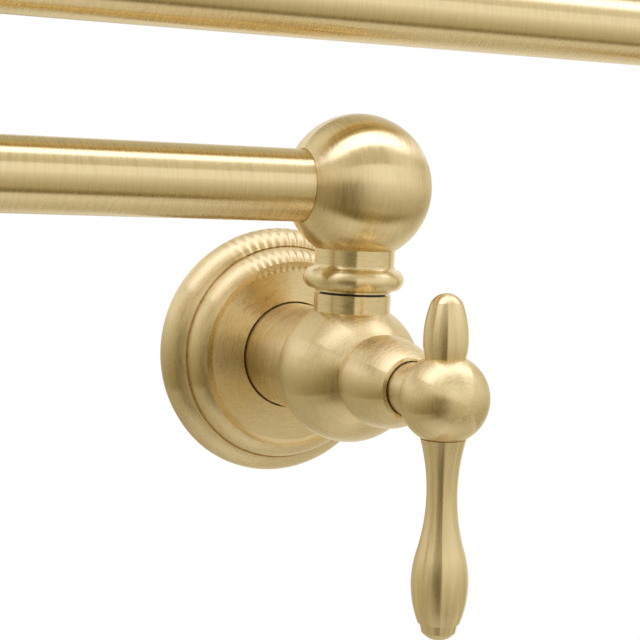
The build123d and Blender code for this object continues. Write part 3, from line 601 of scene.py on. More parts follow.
def brushed_gold(name, streaks, pitch, roughness, relief=None):
    """Brushed gold coat on brass: pale warm metal whose fine rings stretch each reflection across them.

    The real lines are about 0.05 mm apart, too fine for the picture, so they are drawn coarser."""
    finish = bpy.context.scene.pot_filler_finish
    made, tree = blank(bpy.data.materials, name)
    grain, parts = brushing(tree, 1 / pitch, streaks)
    height = node(tree, "Math", (grain, finish.line_depth), operation="MULTIPLY")
    if relief:
        height = node(tree, "Math", (height, relief(tree, parts)), operation="ADD")
    # painted shade: the gold is mixed darker where the brushing's bump is lowest, at the bottom of each line
    bottom = [part * (1 - finish.painted_line_shade) for part in finish.gold[:3]] + [1]
    above = node(tree, "MapRange", {"Value": grain, "From Min": LINE_LOW, "From Max": LINE_HIGH})
    # inputs 0, 6 and 7 of a colour mix are its factor and its two colours, and output 2 is the mixed one
    coat = node(tree, "Mix", {0: above, 6: bottom, 7: finish.gold}, data_type="RGBA").outputs[2]
    coated(tree, grain, height, roughness, BRUSHED_SPREAD, {
        "Base Color": coat,
        "Metallic": 1.0,
        "Anisotropic": finish.gold_anisotropy,
        "Anisotropic Rotation": ACROSS_RINGS,
        "Tangent": node(tree, "Tangent", direction_type="UV_MAP", uv_map=TURNED),
    })
    return made


def plain(name, base, roughness, grain_size=0.6, grain_depth=0.002, metallic=0.0):
    """Even finish with a fine grain, in millimetres, on Object coordinates, made once."""
    if name in bpy.data.materials:
        return bpy.data.materials[name]
    made, tree = blank(bpy.data.materials, name)
    place = node(tree, "TexCoord").outputs["Object"]
    grain = node(tree, "TexNoise", {"Vector": place, "Scale": 1000 / grain_size, "Detail": 2.0})
    height = node(tree, "Math", (grain, grain_depth / 1000), operation="MULTIPLY")
    coated(tree, grain, height, roughness, PLAIN_SPREAD, {"Base Color": base, "Metallic": metallic})
    return made


def gold(brush):
    """Brushed gold from one kind of brush, made once."""
    finish = bpy.context.scene.pot_filler_finish
    # streaks round the piece, from one line to the next along it, and roughness
    streaks, pitch, roughness = {
        # balls, hubs and bonnets: short streaks round their own axis, and a broad soft glow across them
        "fine": (3.0, finish.line_pitch, finish.fine_roughness),
        # tubes, shank and spout: long rings, and a bright band along the tube
        "even": (1.2, finish.line_pitch, finish.even_roughness),
        # levers and finials: streaks that run along the piece
        "lengthwise": (6.0, finish.streak_length, finish.even_roughness),
    }[brush]
    name = f"brushed PVD gold on brass, {brush}"
    return bpy.data.materials.get(name) or brushed_gold(name, streaks, pitch, roughness)


def slot_finishes():
    """Finish of each material slot for the solids that keep their packed mesh."""
    finish = bpy.context.scene.pot_filler_finish
    return {
        # a soft yellow metal with faint tool marks
        "inner_brass": plain("machined brass", finish.brass, 0.24, metallic=1.0),
        # a cool grey metal, duller than the gold
        "steel": plain("stainless steel, turned", finish.steel, 0.3, metallic=1.0),
        # near black and matt
        "rubber": plain("nitrile rubber", finish.rubber, 0.62, grain_size=0.8, grain_depth=0.004),
        # dark grey and waxy; its darkness is also painted shade, the thin dark line in each swivel's gap
        "washer_plastic": plain("graphite filled PTFE, also painted gap shade", finish.washer_grey_and_gap_shade, 0.42, grain_size=1.0),
        # moulded, off white, with a soft gloss
        "inner_plastic": plain("acetal, moulded", finish.acetal, 0.38, grain_size=1.0),
        # moulded, pale grey, a little glossier
        "aerator_plastic": plain("ABS, moulded", finish.mesh_plastic, 0.35, grain_size=1.0),
        # lapped flat, so it shines like glass
        "ceramic_disc": plain("alumina ceramic, lapped", finish.ceramic, 0.12, grain_size=0.8,
                              grain_depth=0.0005),
        # what stays of the gold on packed meshes: an even satin without lines
        "brushed_gold": plain("PVD gold on brass, as turned", finish.gold, 0.3, metallic=1.0),
    }


# ---------------------------------------------------------------- the pieces


class POTFILLER_OT_wall_flange(bpy.types.Operator):
    """Slip flange: rounded rim, groove, bead and dish, with polishing ripples on rim and bead"""
    bl_idname = "pot_filler.wall_flange"
    bl_label = "Wall flange"

    def execute(self, context):
        s = context.scene.pot_filler_flange
        finish = context.scene.pot_filler_finish
        inside = s.rim_radius - s.rim_draft - 2 * s.wall
        groove_radius = s.rim_radius - s.rim_run
        groove_height = s.rim_height + s.rim_rise
        foot = groove_radius - s.groove
        crest_radius, crest_height = foot - s.bead_run, groove_height + s.bead_rise
        rim_curve, bead_curve = arc_curve(s.rim_run, s.rim_rise), arc_curve(s.bead_run, s.bead_rise)
        dish_radius, dish_height = crest_radius - s.cove_run, crest_height - s.dish_drop
        lip_height = dish_height + s.lip_rise
        sleeve_back = lip_height - s.sleeve_length
        cove_sag = 0.65     # share of the dish's drop that lies in the first half of the cove
        fade = 0.001     # on both sides of the dish's rim the ripples fade over this length
        streaks = 5.0     # on this wide piece they are about as long, in millimetres, as the balls' streaks
        shape = Outline(inside, 0).to_radius(s.rim_radius - s.rim_draft).soften(SHEET_EDGE)
        shape.line(s.rim_radius, s.rim_height, steps=3)
        shape.arc(s.rim_radius - rim_curve, s.rim_height, degrees(asin(s.rim_rise / rim_curve)), least=16)
        shape.line(groove_radius - s.groove / 2, groove_height - s.groove).line(foot, groove_height)
        shape.arc(foot - bead_curve, groove_height, degrees(asin(s.bead_rise / bead_curve)), least=16)
        shape.line(crest_radius - s.cove_run / 2, crest_height - s.dish_drop * cove_sag)
        shape.line(dish_radius, dish_height).line(s.hole_radius, lip_height, steps=6).soften(SHEET_EDGE)
        shape.to_height(sleeve_back, steps=3).to_radius(s.hole_radius + 2 * s.wall)
        shape.to_height(dish_height - s.wall, steps=3).to_radius(crest_radius - s.wall, steps=3)
        shape.line(foot - 2 * s.wall, groove_height - s.wall, steps=3).line(inside, s.rim_height, steps=3)
        piece = as_object(shape.close().turn(steps=240), "flange_shell", ON_WALL)

        def ripple(tree, parts):
            """Height of shallow ripples across the top of rim and bead, none of them on the dish."""
            angle = node(tree, "Math", (parts["X"], s.ripples * 2 * pi), operation="MULTIPLY")
            wave = node(tree, "Math", (angle,), operation="SINE")
            # the wall's up is a quarter turn on this piece
            away = node(tree, "Math", (parts["X"], 0.25 + s.ripple_middle), operation="SUBTRACT")
            away = node(tree, "Math", (away,), operation="ABSOLUTE")
            top = node(tree, "MapRange", {"Value": away, "From Min": s.ripple_reach,
                                          "From Max": s.ripple_reach - s.ripple_fade},
                       interpolation_type="SMOOTHSTEP")
            place = node(tree, "TexCoord").outputs["Object"]
            across = node(tree, "VectorMath", (place, (1, 0, 1)), operation="MULTIPLY")
            radius = node(tree, "VectorMath", (across,), operation="LENGTH").outputs["Value"]
            outside = node(tree, "MapRange", {"Value": radius, "From Min": dish_radius - fade,
                                              "From Max": dish_radius + fade})
            strength = node(tree, "Math", (top, outside), operation="MULTIPLY")
            height = node(tree, "Math", (wave, strength), operation="MULTIPLY")
            return node(tree, "Math", (height, finish.ripple_depth), operation="MULTIPLY")

        coat = brushed_gold("brushed PVD gold on brass, rippled", streaks, finish.line_pitch,
                            finish.flange_roughness, ripple)
        dress(piece, "wall_flange", coat)
        return {"FINISHED"}


class POTFILLER_OT_supply_adapter(bpy.types.Operator):
    """Turned supply adapter: pipe thread behind the wall, hexagonal shoulder and spigot"""
    bl_idname = "pot_filler.supply_adapter"
    bl_label = "Supply adapter"

    def execute(self, context):
        s = context.scene.pot_filler_inlet
        root = s.thread_radius - s.thread_depth
        back = -s.relief_length - s.thread_length
        core_radius = s.flats / 2 - INTO
        spigot_end = s.shoulder_length + s.spigot_length
        shape = Outline(s.bore_radius, back).to_radius(root).soften(THREAD_EDGE)
        shape.to_height(-s.relief_length).to_radius(s.relief_radius)
        shape.to_height(0).to_radius(core_radius).to_height(s.shoulder_length)
        shape.to_radius(s.spigot_radius).to_height(spigot_end).to_radius(s.bore_radius)
        core = as_object(shape.close().turn(steps=96), "adapter_core")
        cut(core, self.wrench_ring(s), "UNION")
        self.wind_thread(core, s, root, back)
        core.data.transform(ON_WALL)
        core.name = core.data.name = "adapter_turned"
        dress(core, "supply_adapter", slot_finishes()["inner_brass"])
        return {"FINISHED"}

    def wrench_ring(self, s):
        """Hexagonal shoulder with rounded corners, as a ring whose hole lies inside the core."""
        mesh = bmesh.new()
        mesh.loops.layers.uv.new(TURNED)
        corner = s.flats / 2 / cos(pi / 6)
        bmesh.ops.create_cone(mesh, cap_ends=True, segments=6, radius1=corner, radius2=corner,
                              depth=s.shoulder_length)
        ring = as_object(mesh, "adapter_shoulder", Matrix.Translation((0, 0, s.shoulder_length / 2)))
        front = s.shoulder_length + PAST
        cut(ring, as_object(rod(s.shoulder_radius, -PAST, front, steps=96), "adapter_round"), "INTERSECT")
        lap = 0.001     # how far the ring reaches into the core
        hole = rod(s.spigot_radius - lap, -PAST, front, steps=48)
        return cut(ring, as_object(hole, "adapter_bore"), "DIFFERENCE")

    def wind_thread(self, core, s, root, back):
        """Winds the pipe thread's ridge round the core."""
        foot_width, crest_width = 0.96, 0.12     # ridge's foot to the pitch, and its crest to the foot
        steps_in_turn = 40
        mesh = bmesh.new()
        mesh.from_mesh(core.data)
        half = s.thread_pitch / 2 * foot_width
        start = back + half
        low = mesh.verts.new((root - INTO, 0, start - half))
        high = mesh.verts.new((root - INTO, 0, start + half))
        crest_low = mesh.verts.new((s.thread_radius, 0, start - half * crest_width))
        crest_high = mesh.verts.new((s.thread_radius, 0, start + half * crest_width))
        ridge = [low, crest_low, crest_high, high]
        edges = [mesh.edges.new((ridge[i], ridge[(i + 1) % 4])) for i in range(4)]
        turns = int((s.thread_length - 2 * half) / s.thread_pitch)
        wound = bmesh.ops.spin(mesh, geom=ridge + edges, cent=(0, 0, 0), axis=(0, 0, 1),
                               dvec=(0, 0, s.thread_pitch / steps_in_turn), angle=2 * pi * turns,
                               steps=steps_in_turn * turns, use_merge=False, use_normal_flip=False,
                               use_duplicate=False)
        last = [g for g in wound["geom_last"] if isinstance(g, bmesh.types.BMEdge)]
        bmesh.ops.contextual_create(mesh, geom=edges)
        bmesh.ops.contextual_create(mesh, geom=last)
        bmesh.ops.recalc_face_normals(mesh, faces=mesh.faces[:])
        mesh.to_mesh(core.data)
        mesh.free()


class POTFILLER_OT_inlet_shank(bpy.types.Operator):
    """Shank between flange and valve, with the hole of its set screw below"""
    bl_idname = "pot_filler.inlet_shank"
    bl_label = "Inlet shank"

    def execute(self, context):
        s = context.scene.pot_filler_inlet
        valve = context.scene.pot_filler_valve
        front = -WALL_BALL.y - valve.collar_place
        floor = front - s.floor_length
        shape = Outline(s.shank_bore, s.shank_start).to_radius(s.shank_radius).soften(SHANK_EDGE)
        shape.to_height(front, steps=4).soften(SEAM_EDGE).to_radius(s.bore_radius).to_height(floor)
        shape.line(s.shank_bore, floor - s.floor_cone)
        piece = as_object(shape.close().turn(), "shank_sleeve")
        hole = rod(s.screw_radius, 0, 2 * s.shank_radius, steps=32)
        down = Matrix.Translation((0, 0, s.shank_start + s.screw_place)) @ DOWNWARD
        cut(piece, as_object(hole, "screw_hole", down), "DIFFERENCE")
        piece.data.transform(ON_WALL)
        dress(piece, "inlet_shank", gold("even"))
        return {"FINISHED"}


class POTFILLER_OT_valve_bodies(bpy.types.Operator):
    """Valve bodies: a ball with a neck, behind it a collar for the shank or a socket for the tube"""
    bl_idname = "pot_filler.valve_bodies"
    bl_label = "Valve bodies"

    def execute(self, context):
        s = context.scene.pot_filler_valve
        for kind, place, back, turn in (("wall", WALL_VALVE, self.back_of_shank, UPWARD),
                                        ("outlet", OUTLET_VALVE, self.back_of_tube, HALF_TURN @ UPWARD)):
            shape = back(context)
            shape.arc(0, 0, degrees(atan2(s.seam_place, half_width(s.ball_radius, s.seam_place))))
            shape.line(s.pocket_radius, s.seam_place).to_height(-s.seat_place)
            shape.to_radius(s.seat_bore).to_height(-s.seat_back)
            piece = as_object(shape.close().turn(), f"{kind}_valve_ball")
            add_neck(piece, s, turn)
            piece.data.transform(place)
            dress(piece, f"{kind}_valve_body", gold("fine"))
        return {"FINISHED"}

    def back_of_shank(self, context):
        """Outline from the seat round the collar to the ball."""
        s = context.scene.pot_filler_valve
        bore = context.scene.pot_filler_inlet.bore_radius
        centre_radius = s.collar_radius + s.collar_fillet
        centre_height = -half_width(s.ball_radius + s.collar_fillet, centre_radius)
        touch = degrees(atan2(-centre_height, -centre_radius))
        shape = Outline(bore, -s.seat_back).to_height(-s.collar_place)
        shape.to_radius(s.collar_radius).soften(SEAM_EDGE).to_height(centre_height)
        return shape.arc(centre_radius, centre_height, touch, least=5)

    def back_of_tube(self, context):
        """Outline from the seat round the tube's socket to the ball."""
        arm = context.scene.pot_filler_arm
        shape = Outline(arm.tube_bore, -context.scene.pot_filler_valve.seat_back)
        return tube_mouth(shape, arm, context.scene.pot_filler_valve.ball_radius)


def tube_mouth(shape, arm, ball):
    """Draws from a tube's bore round its socket out to the ball."""
    socket = arm.tube_radius + FIXED_FIT
    mouth = socket + arm.socket_mouth
    rim = -half_width(ball, mouth)
    shape.line(arm.tube_bore, -arm.tube_seat).to_radius(socket)
    return shape.to_height(rim + arm.socket_mouth).line(mouth, rim)


def add_neck(piece, s, turn):
    """Joins a neck to a ball and bores it for the swivel post."""
    root, end = s.pocket_radius + s.neck_root, s.neck_height + PAST
    neck = Outline(0, root).to_radius(s.neck_radius)
    neck.to_height(s.neck_height, steps=3).soften(NECK_EDGE).to_radius(0, steps=3)
    cut(piece, as_object(neck.turn(), "neck", turn), "UNION")
    bore = Outline(0, 0).to_radius(s.neck_bore).to_height(s.socket_floor)
    bore.to_radius(s.neck_socket).to_height(end).to_radius(0)
    cut(piece, as_object(bore.turn(steps=64), "neck_bore", turn), "DIFFERENCE")


class POTFILLER_OT_bonnets(bpy.types.Operator):
    """Acorn shaped bonnets over the cartridges"""
    bl_idname = "pot_filler.bonnets"
    bl_label = "Bonnets"

    def execute(self, context):
        s = context.scene.pot_filler_valve
        thread = s.pocket_radius - FIXED_FIT
        curve = arc_curve(s.bonnet_radius - s.bonnet_front_radius, s.bonnet_face - s.bonnet_place)
        stop = degrees(asin((s.bonnet_face - s.bonnet_lip - s.bonnet_place) / curve))
        floor = s.bonnet_face - s.mouth_depth
        guide_back = floor - s.guide_length
        for kind, place in (("wall", WALL_VALVE), ("outlet", OUTLET_VALVE)):
            shape = Outline(s.bonnet_bore, s.bonnet_back).to_radius(thread).to_height(s.seam_place)
            shape.to_radius(half_width(s.ball_radius, s.seam_place)).arc(0, s.bonnet_place, 0)
            shape.arc(s.bonnet_radius - curve, s.bonnet_place, stop, least=16)
            shape.line(s.bonnet_front_radius - s.bonnet_lip, s.bonnet_face)
            shape.to_radius(s.mouth_radius).to_height(floor)
            shape.to_radius(s.guide_radius).to_height(guide_back)
            shape.line(s.bonnet_bore, guide_back - s.guide_cone)
            piece = as_object(shape.close().turn(), f"{kind}_bonnet_shell", place)
            dress(piece, f"{kind}_bonnet", gold("fine"))
        return {"FINISHED"}


def handle_places(context):
    """Prefix and stem place of both handles, with the wall handle's lean."""
    lean = Matrix.Rotation(context.scene.pot_filler_handle.lean, 4, "Z")
    return ("wall", WALL_VALVE @ lean), ("outlet", OUTLET_VALVE)


def on_flat(place, s, turn):
    """Place of a piece that stands on a flat of the hub, turned upward or downward."""
    return place @ Matrix.Translation((0, 0, s.hub_place)) @ turn @ Matrix.Translation((0, 0, s.flat_place))


class POTFILLER_OT_handle_hubs(bpy.types.Operator):
    """Handle hubs: a ball on a stem collar, flat above and below"""
    bl_idname = "pot_filler.handle_hubs"
    bl_label = "Handle hubs"

    def execute(self, context):
        s = context.scene.pot_filler_handle
        grub = Matrix.Translation((0, 0, s.stem_start + s.grub_place))
        askew = Matrix.Rotation(-pi / 4, 4, "Z") @ RIGHTWARD      # half way between right and down
        for kind, place in handle_places(context):
            shape = Outline(0, s.socket_end).to_radius(s.socket_radius)
            shape.to_height(s.stem_start).to_radius(s.stem_radius)
            shape.to_height(s.hub_place - half_width(s.hub_radius, s.stem_radius), steps=2)
            shape.arc(0, s.hub_place, 90)
            mesh = shape.turn()
            for side in (1, -1):
                trim = bmesh.ops.bisect_plane(mesh, geom=mesh.verts[:] + mesh.edges[:] + mesh.faces[:],
                                              plane_co=(0, side * s.flat_place, 0), plane_no=(0, side, 0),
                                              clear_outer=True)
                rim = [g for g in trim["geom_cut"] if isinstance(g, bmesh.types.BMEdge)]
                bmesh.ops.contextual_create(mesh, geom=rim)
            piece = as_object(mesh, f"{kind}_handle_ball")
            hole = as_object(rod(s.grub_radius, 0, 2 * s.stem_radius, steps=24), "grub_hole", grub @ askew)
            cut(piece, hole, "DIFFERENCE")
            piece.data.transform(place)
            dress(piece, f"{kind}_handle_hub", gold("fine"))
        return {"FINISHED"}


def dome(shape, radius, height, rise):
    """Draws from a rim up to the axis."""
    curve = arc_curve(rise, radius)
    return shape.arc(0, height + rise - curve, 90, least=6)


class POTFILLER_OT_finials(bpy.types.Operator):
    """Turned finials: a soft barrel, a crisp shoulder and a low dome"""
    bl_idname = "pot_filler.finials"
    bl_label = "Finials"

    def execute(self, context):
        s = context.scene.pot_filler_handle
        low = arc_curve(s.finial_belly - s.finial_base, s.finial_belly_place)
        high_rise = s.finial_shoulder_place - s.finial_belly_place
        high = arc_curve(s.finial_belly - s.finial_shoulder, high_rise)
        for kind, place in handle_places(context):
            shape = Outline(0, -s.stud_length).to_radius(s.stud_radius)
            shape.to_height(0).to_radius(s.finial_base)
            shape.arc(s.finial_belly - low, s.finial_belly_place, 0, least=6)
            shape.arc(s.finial_belly - high, s.finial_belly_place, degrees(asin(high_rise / high)), least=12)
            dome(shape, s.finial_shoulder, s.finial_shoulder_place, s.finial_dome)
            piece = as_object(shape.turn(steps=96), f"{kind}_finial_turned", on_flat(place, s, UPWARD))
            dress(piece, f"{kind}_finial", gold("lengthwise"))
        return {"FINISHED"}


class POTFILLER_OT_levers(bpy.types.Operator):
    """Turned levers: a hollow curve to the waist, a long bulb, a foot and a toe"""
    bl_idname = "pot_filler.levers"
    bl_label = "Levers"

    def execute(self, context):
        s = context.scene.pot_filler_handle
        run = s.bulb_place - s.waist_place
        bulb = arc_curve(s.bulb_radius - s.waist_radius, run) - s.waist_curve
        hollow = s.waist_radius + s.waist_curve
        base = hollow - half_width(s.waist_curve, s.waist_place)
        meet = degrees(asin(run / (s.waist_curve + bulb)))
        foot = degrees(asin((s.foot_place - s.bulb_place) / bulb))
        for kind, place in handle_places(context):
            shape = Outline(0, -s.stud_length).to_radius(s.stud_radius).to_height(0).to_radius(base)
            shape.arc(hollow, s.waist_place, 180 - meet, least=16)
            shape.arc(s.bulb_radius - bulb, s.bulb_place, foot, least=16)
            shape.line(s.foot_radius, s.foot_place).line(s.toe_radius, s.toe_place, steps=2)
            dome(shape, s.toe_radius, s.toe_place, s.toe_dome)
            piece = as_object(shape.turn(steps=96), f"{kind}_lever_turned", on_flat(place, s, DOWNWARD))
            dress(piece, f"{kind}_lever", gold("lengthwise"))
        return {"FINISHED"}


def collar_ring(shape, s):
    """Draws the ring and the cove up to the neck above it."""
    centre = s.ring_radius - s.ring_curve
    cove_radius = s.neck_radius + s.cove
    cove_rise = half_width(s.ring_curve, cove_radius - centre)
    shape.line(centre + half_width(s.ring_curve, s.ring_start), s.ring_place - s.ring_start)
    shape.arc(centre, s.ring_place, degrees(atan2(cove_rise, cove_radius - centre)), least=12)
    return shape.arc(cove_radius, s.ring_place + cove_rise + s.cove, 180, least=6)


def ball_behind_tube(s, valve, ball):
    """Outline of a ball with a tube's socket behind it, hollow as far as the neck's bore."""
    end = valve.neck_bore + s.bore_lap
    return tube_mouth(Outline(0, end).to_radius(s.tube_bore), s, ball).arc(0, 0, 90)


class POTFILLER_OT_elbows(bpy.types.Operator):
    """Elbows: a ball brushed round the tube's axis, on a neck with a collar ring"""
    bl_idname = "pot_filler.elbows"
    bl_label = "Elbows"

    def execute(self, context):
        s = context.scene.pot_filler_arm
        valve = context.scene.pot_filler_valve
        rises = {"wall": FAR_BALL.z - WALL_BALL.z, "far": OUTLET_BALL.z - FAR_BALL.z}
        for kind, below, turn in (("wall", WALL_BALL, RIGHTWARD), ("far", FAR_BALL, LEFTWARD)):
            rise = rises[kind]
            shape = ball_behind_tube(s, valve, s.elbow_radius)
            piece = as_object(shape.turn(), f"{kind}_elbow_ball", Matrix.Translation((0, 0, rise)) @ turn)
            neck_end = rise - s.neck_gap
            neck = Outline(0, s.elbow_foot).to_radius(s.foot_radius)
            neck.to_height(s.elbow_foot + s.foot_height)
            collar_ring(neck, s).line(s.neck_radius, neck_end, steps=3).to_radius(0, steps=3)
            cut(piece, as_object(neck.turn(), "elbow_neck"), "UNION")
            start = s.elbow_foot - PAST
            bore = Outline(0, start).to_radius(s.gland_radius).to_height(s.gland_end)
            bore.to_radius(s.head_radius).to_height(s.head_end)
            bore.to_radius(valve.neck_bore).to_height(rise).to_radius(0)
            cut(piece, as_object(bore.turn(steps=64), "elbow_bore"), "DIFFERENCE")
            piece.data.transform(Matrix.Translation(below))
            dress(piece, f"{kind}_elbow", gold("fine"))
        return {"FINISHED"}


class POTFILLER_OT_far_ball(bpy.types.Operator):
    """Plain ball at the lower arm's far end, with a neck for the far swivel"""
    bl_idname = "pot_filler.far_ball"
    bl_label = "Far ball"

    def execute(self, context):
        s = context.scene.pot_filler_valve
        shape = ball_behind_tube(context.scene.pot_filler_arm, s, s.ball_radius)
        piece = as_object(shape.turn(), "far_ball_turned", LEFTWARD)
        add_neck(piece, s, Matrix.Identity(4))
        piece.data.transform(Matrix.Translation(FAR_BALL))
        dress(piece, "lower_arm_far_ball", gold("fine"))
        return {"FINISHED"}


class POTFILLER_OT_arm_tubes(bpy.types.Operator):
    """Tubes of both arms, brushed round"""
    bl_idname = "pot_filler.arm_tubes"
    bl_label = "Arm tubes"

    def execute(self, context):
        s = context.scene.pot_filler_arm
        for name in ("lower_arm_tube", "upper_arm_tube"):
            low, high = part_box(name)
            centre = middle(name)
            shape = Outline(s.tube_bore, low.x).to_radius(s.tube_radius)
            shape.to_height(high.x, steps=8).to_radius(s.tube_bore)
            place = Matrix.Translation((0, centre.y, centre.z)) @ RIGHTWARD
            dress(as_object(shape.close().turn(), f"{name}_brushed", place), name, gold("even"))
        return {"FINISHED"}


class POTFILLER_OT_down_spout(bpy.types.Operator):
    """Down spout: the same collar as the elbows, a short taper, a straight length and an end ring"""
    bl_idname = "pot_filler.down_spout"
    bl_label = "Down spout"

    def execute(self, context):
        s = context.scene.pot_filler_spout
        arm = context.scene.pot_filler_arm
        valve = context.scene.pot_filler_valve
        cove_end = 180 - degrees(asin(0.95))     # where the cove has come down nearly all its height
        taper_start = arm.ring_place + arm.ring_curve + arm.cove
        cove_start = s.ring_top - s.ring_cove
        shape = Outline(s.post_bore, valve.socket_floor).to_radius(s.post_radius)
        shape.to_height(valve.neck_height).to_radius(arm.foot_radius)
        shape.to_height(arm.ring_place - arm.ring_start - s.foot_slope)
        collar_ring(shape, arm).line(arm.neck_radius, taper_start)
        shape.line(s.radius, taper_start + s.taper_length, steps=4).to_height(cove_start, steps=6)
        shape.arc(s.radius + s.ring_cove, cove_start, cove_end, least=6)
        shape.line(s.ring_radius - s.edge, s.ring_top).line(s.ring_radius, s.ring_top + s.edge)
        shape.to_height(s.end - s.edge, steps=2).line(s.ring_radius - s.edge, s.end)
        shape.to_radius(s.aerator_socket).to_height(s.socket_top)
        shape.to_radius(s.bore).to_height(valve.neck_height).to_radius(s.post_bore)
        dress(as_object(shape.close().turn(), "spout_turned", HANGING), "down_spout", gold("even"))
        return {"FINISHED"}


class POTFILLER_OT_aerator(bpy.types.Operator):
    """Aerator's case with two wrench slots in its flange"""
    bl_idname = "pot_filler.aerator"
    bl_label = "Aerator"

    def execute(self, context):
        s = context.scene.pot_filler_spout
        bottom = s.end + s.flange_thickness
        shape = Outline(s.case_bore, s.case_top).to_radius(s.case_radius)
        shape.to_height(s.end).to_radius(s.flange_radius)
        shape.to_height(bottom - s.edge).line(s.flange_radius - s.edge, bottom)
        shape.to_radius(s.opening).soften(SHEET_EDGE)
        shape.to_height(bottom - s.lip).to_radius(s.case_bore)
        piece = as_object(shape.close().turn(), "aerator_ring")
        reach = 2 * (s.flange_radius - s.case_radius)
        for side in (1, -1):
            slot = bmesh.new()
            slot.loops.layers.uv.new(TURNED)
            bmesh.ops.create_cube(slot, size=1.0)
            bmesh.ops.scale(slot, vec=(2 * reach, s.slot_width, 2 * s.slot_depth), verts=slot.verts[:])
            place = Matrix.Translation((side * (s.case_radius + reach), 0, bottom))
            cut(piece, as_object(slot, "wrench_slot", place), "DIFFERENCE")
        piece.data.transform(HANGING)
        dress(piece, "aerator_case", gold("even"))
        return {"FINISHED"}


class POTFILLER_OT_inner_parts(bpy.types.Operator):
    """Finishes of the packed solids that keep their own mesh: screws, seals, cartridges and posts"""
    bl_idname = "pot_filler.inner_parts"
    bl_label = "Inner parts"

    def execute(self, context):
        finishes = slot_finishes()
        for name, solid in frame["nodes"].items():
            solid.data.materials.clear()
            solid.data.materials.append(finishes[SLOTS[name]])
        return {"FINISHED"}


# ---------------------------------------------------------------- stage


# Nets that hang round the tap: the side's direction, the axis that their density follows, and how much
# light they let through at places along it, in metres from their middle.
NETS = {
    "front": ((0, -1, 0), "Z", (
        (-0.92, 0.42), (-0.68, 0.51), (-0.43, 0.575), (-0.316, 0.64), (-0.083, 0.74), (0.02, 0.81),
        (0.143, 0.88), (0.25, 1.0), (0.85, 1.0), (0.855, 0.55), (0.92, 0.55))),
    "back": ((0, 1, 0), "Z", (
        (-0.92, 0.5), (-0.4, 0.5), (-0.1, 0.63), (0.1, 0.8), (0.3, 0.92), (0.6, 0.93), (0.61, 0.43),
        (0.92, 0.43))),
    "left": ((-1, 0, 0), "Z", (
        (-0.92, 0.44), (-0.6, 0.47), (-0.35, 0.55), (-0.11, 0.65), (0.11, 0.8), (0.35, 0.85),
        (0.6, 0.88), (0.75, 1.0), (0.92, 1.0))),
    "right": ((1, 0, 0), "Z", (
        (-0.92, 0.52), (-0.6, 0.56), (-0.35, 0.62), (-0.11, 0.71), (0.11, 0.82), (0.35, 0.86),
        (0.6, 0.88), (0.75, 1.0), (0.92, 1.0))),
    "ceiling": ((0, 0, 1), "Y", (
        (-1.1, 0.58), (-0.71, 0.58), (-0.45, 0.62), (-0.3, 1.0), (0.225, 1.0), (0.235, 0.43),
        (1.1, 0.43))),
    "table": ((0, 0, -1), "Y", (
        (-1.1, 0.42), (-0.98, 0.3), (-0.7, 0.24), (-0.69, 0.75), (-0.64, 0.88), (-0.45, 0.97),
        (-0.33, 0.97), (0.0, 0.85), (0.5, 0.66), (1.1, 0.56))),
}
# How fast red, green and blue fall off as a net gets denser.
NET_TINT = (0.98, 1.11, 1.6)
# The black flag beside the camera: what it lets through, and how much it covers by azimuth to the right of
# -Y and by elevation, in degrees.
FLAG = 0.1
FLAG_AZIMUTHS = (
    (-180, 0.0), (-110, 0.0), (-85, 0.15), (-71, 0.38), (-56, 0.7), (-46, 0.95), (-38, 1.0),
    (-23, 1.0), (-19, 0.0), (180, 0.0))
FLAG_ELEVATIONS = (
    (-90, 0.0), (-50, 0.0), (-42, 0.8), (-36, 1.0), (-3, 1.0), (5, 0.9), (12, 0.55), (20, 0.3),
    (32, 0.25), (36, 0.0), (90, 0.0))
# Patches where the nets are denser, or thinner where the last number is below 0: azimuth and elevation of
# the middle, the angles from it within which the patch is full and at which it ends, and how much denser.
NET_PATCHES = (
    (-95, -20, 15, 40, 0.1),
    (140, -28, 12, 34, -0.9),
    (-132, 42, 12, 36, -0.8),
    (138, 30, 8, 24, -0.7),
    (52, 40, 6, 18, -0.5),
    (-90, -50, 12, 40, 0.15),
    (90, -45, 20, 45, 0.15),
)


def lobe(tree, direction, azimuth, elevation, inner, outer):
    """1 within an angle of a direction, falling softly to 0 at a wider one."""
    a, e = radians(azimuth), radians(elevation)
    aim = (sin(a) * cos(e), -cos(a) * cos(e), sin(e))
    toward = node(tree, "VectorMath", (direction, aim), operation="DOT_PRODUCT").outputs["Value"]
    return node(tree, "MapRange", {"Value": toward, "From Min": cos(radians(outer)),
                                   "From Max": cos(radians(inner))}, interpolation_type="SMOOTHSTEP")


def seen_or_mirrored(tree):
    """1 for what the camera sees, directly, in a reflection or through glass."""
    rays = node(tree, "LightPath").outputs
    mirrored = node(tree, "Math", (rays["Is Glossy Ray"], rays["Is Transmission Ray"]), operation="ADD")
    return node(tree, "Math", (rays["Is Camera Ray"], mirrored), operation="ADD", use_clamp=True)


def ramp(tree, value, stops):
    """Level that follows a value along stops, which are pairs of a value and its level."""
    low, high = stops[0][0], stops[-1][0]
    way = node(tree, "MapRange", {"Value": value, "From Min": low, "From Max": high})
    bands = node(tree, "ValToRGB", (way,))
    elements = bands.color_ramp.elements
    while len(elements) < len(stops):
        elements.new(0.5)
    for element, (place, level) in zip(elements, stops):
        element.position = (place - low) / (high - low)
        element.color = (level, level, level, 1)
    return bands


